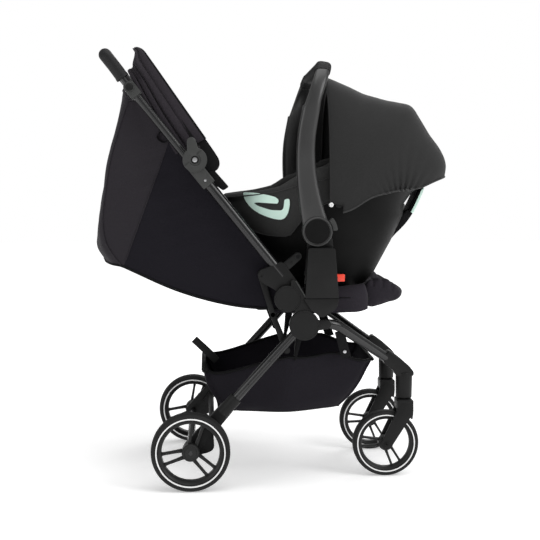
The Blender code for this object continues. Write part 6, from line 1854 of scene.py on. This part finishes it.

# %% [markdown]
# The last metal and plastic parts are the cross shaft, the axle with its brake bar and foot plate, the
# handle's bare tube, a bag loop, the carrier's pull bar and strap, the seat board and the back leaf.

# %% Shafts, brake and handle tube
shaft_low, shaft_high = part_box("main_cross_shaft")
piece("cross_shaft", round_bar(LEG_PIVOT, 0.008, shaft_low.y, shaft_high.y, 0.001, 40), TUBE_PAINT, "frame",
      ("main_cross_shaft",))
axle_end, axle_thick = REAR_Y + REAR_W / 2 * 0.92 + 0.0015, HOUSING_Y - HOUSING_W - 0.0003
axle = turn([(0, -axle_end), (0.0042, -axle_end), (0.005, -axle_end + 0.0008), (0.005, -axle_thick),
             (0.008, -axle_thick), (0.0085, -axle_thick + 0.0006), (0.0085, axle_thick - 0.0006),
             (0.008, axle_thick), (0.005, axle_thick), (0.005, axle_end - 0.0008), (0.0042, axle_end),
             (0, axle_end)], REAR_CENTRE, 40)
piece("rear_axle_bar", axle, TUBE_PAINT, "rear_legs", ("rear_axle",))
BRAKE = (0.047, 0.129)
brake_reach = HOUSING_Y - HOUSING_W - 0.0008
brake = round_bar(BRAKE, 0.0065, -brake_reach, brake_reach, 0.0008, 32)
plate_line = [(BRAKE[0] - 0.003, 0.134), (BRAKE[0] - 0.048, 0.142), (BRAKE[0] - 0.052, 0.137),
              (BRAKE[0] - 0.003, 0.1255)]
add(brake, slab(plate_line, -0.165, -0.095, [0.002, 0.003, 0.003, 0.002], 0.0018))
for k in range(5):
    rib_x = BRAKE[0] - 0.012 - 0.0075 * k
    rib_z = 0.134 + 0.008 * (rib_x - BRAKE[0] + 0.003) / -0.045
    add(brake, rod([ahead(rib_x, -0.158, rib_z + 0.0002), ahead(rib_x, -0.102, rib_z + 0.0002)], 0.0011, 8))
for low in (-brake_reach, brake_reach - 0.01):
    add(brake, belt(BRAKE, 0.009, (BRAKE[0] - 0.014, BRAKE[1] - 0.014), 0.006, low, low + 0.01, 0.0008))
piece("brake_bar", brake, CASTING, "brake_pedal", ("brake_pedal",))
tube = rod(handle_line, 0.0075, 20)
for side, tag in SIDES:
    y = side * TUBE_Y
    add(tube, round_bar(HANDLE_PIVOT, 0.0115, y - 0.0074, y + 0.0074, 0.001, 36))
piece("handle_tube", tube, TUBE_PAINT, "handlebar", ("handlebar",))
loop_line = [ahead(-0.056, -0.199, 0.796), ahead(-0.07, -0.201, 0.776), ahead(-0.056, -0.202, 0.764),
             ahead(-0.042, -0.201, 0.772)]
piece("bag_loop", webbing(loop_line, 0.01, 0.0012, 8, (0, 1, 0)), BINDING, "handle_frame")
bar = slab([(0.5495, 0.666), (0.5464, 0.6548), (0.5324, 0.6224), (0.523, 0.6049), (0.518, 0.6078),
            (0.5275, 0.625), (0.5425, 0.66)], -0.05, 0.05, [0.002, 0, 0.02, 0.001, 0.001, 0.02, 0.002],
           0.0022, 4, 4)
for rib_y in (-0.03, 0, 0.03):
    add(bar, rod([ahead(0.5455, rib_y, 0.653), ahead(0.5325, rib_y, 0.623), ahead(0.524, rib_y, 0.607)],
                 0.0012, 10))
piece("rear_pull_bar", bar, MINT, "carrier")
STRAP = [(0.549, 0.676), (0.5425, 0.66), (0.5275, 0.625), (0.518, 0.6078), (0.523, 0.6049),
         (0.5096, 0.5846), (0.4961, 0.5698), (0.48, 0.5545), (0.4715, 0.544), (0.496, 0.596),
         (0.5105, 0.613), (0.515, 0.609), (0.524, 0.6265), (0.5395, 0.66), (0.544, 0.678)]
STRAP_ROUND = [0.001, 0, 0.01, 0.001, 0.001, 0.01, 0.01, 0.01, *[0.001] * 4, 0.01, 0, 0.001]
strap = slab(STRAP, -0.046, 0.046, STRAP_ROUND, 0.0006)
piece("rear_pull_strap", strap, BINDING, "carrier")
board = slab([(0.169, 0.396), (0.388, 0.396), (0.388, 0.404), (0.169, 0.404)], -SEAT_HALF, SEAT_HALF, 0,
             0.0012)
for side, tag in SIDES:
    add(board, belt(LEG_PIVOT, 0.012, (LEG_PIVOT[0], SEAT_Z + 0.002), 0.01, *span(side, 0.12, 0.14), 0.001))
    add(board, belt(BACK_PIVOT, 0.017, (0.2, 0.402), 0.006, *span(side, 0.179, 0.1915), 0.001))
    add(board, belt(LEG_REST_PIVOT, 0.007, (0.384, 0.4), 0.004, *span(side, 0.1192, 0.128), 0.0008))
piece("seat_board", board, CASTING, "frame", ("seat_base",))
leaf = slab([(0.024, -0.004), (0.372, -0.004), (0.372, 0.004), (0.024, 0.004)], -0.1822, 0.1822, 0, 0.0012)
bmesh.ops.translate(leaf, verts=leaf.verts, vec=(-AXLE_X, 0, 0))
bmesh.ops.transform(leaf, matrix=back_matrix, verts=leaf.verts)
lugs = bmesh.new()
for side, tag in SIDES:
    along = (BACK_PIVOT[0] + 0.04 * cos(-BACK_ANGLE), BACK_PIVOT[1] - 0.04 * sin(-BACK_ANGLE))
    add(lugs, belt(BACK_PIVOT, 0.0085, along, 0.004, *span(side, 0.17, 0.1822), 0.0008))
    add(lugs, round_bar(BACK_PIVOT, 0.004, *span(side, 0.18, 0.193), 0.0006, 24))
add(lugs, leaf)
piece("back_leaf", lugs, CASTING, "backrest", ("backrest_board",))
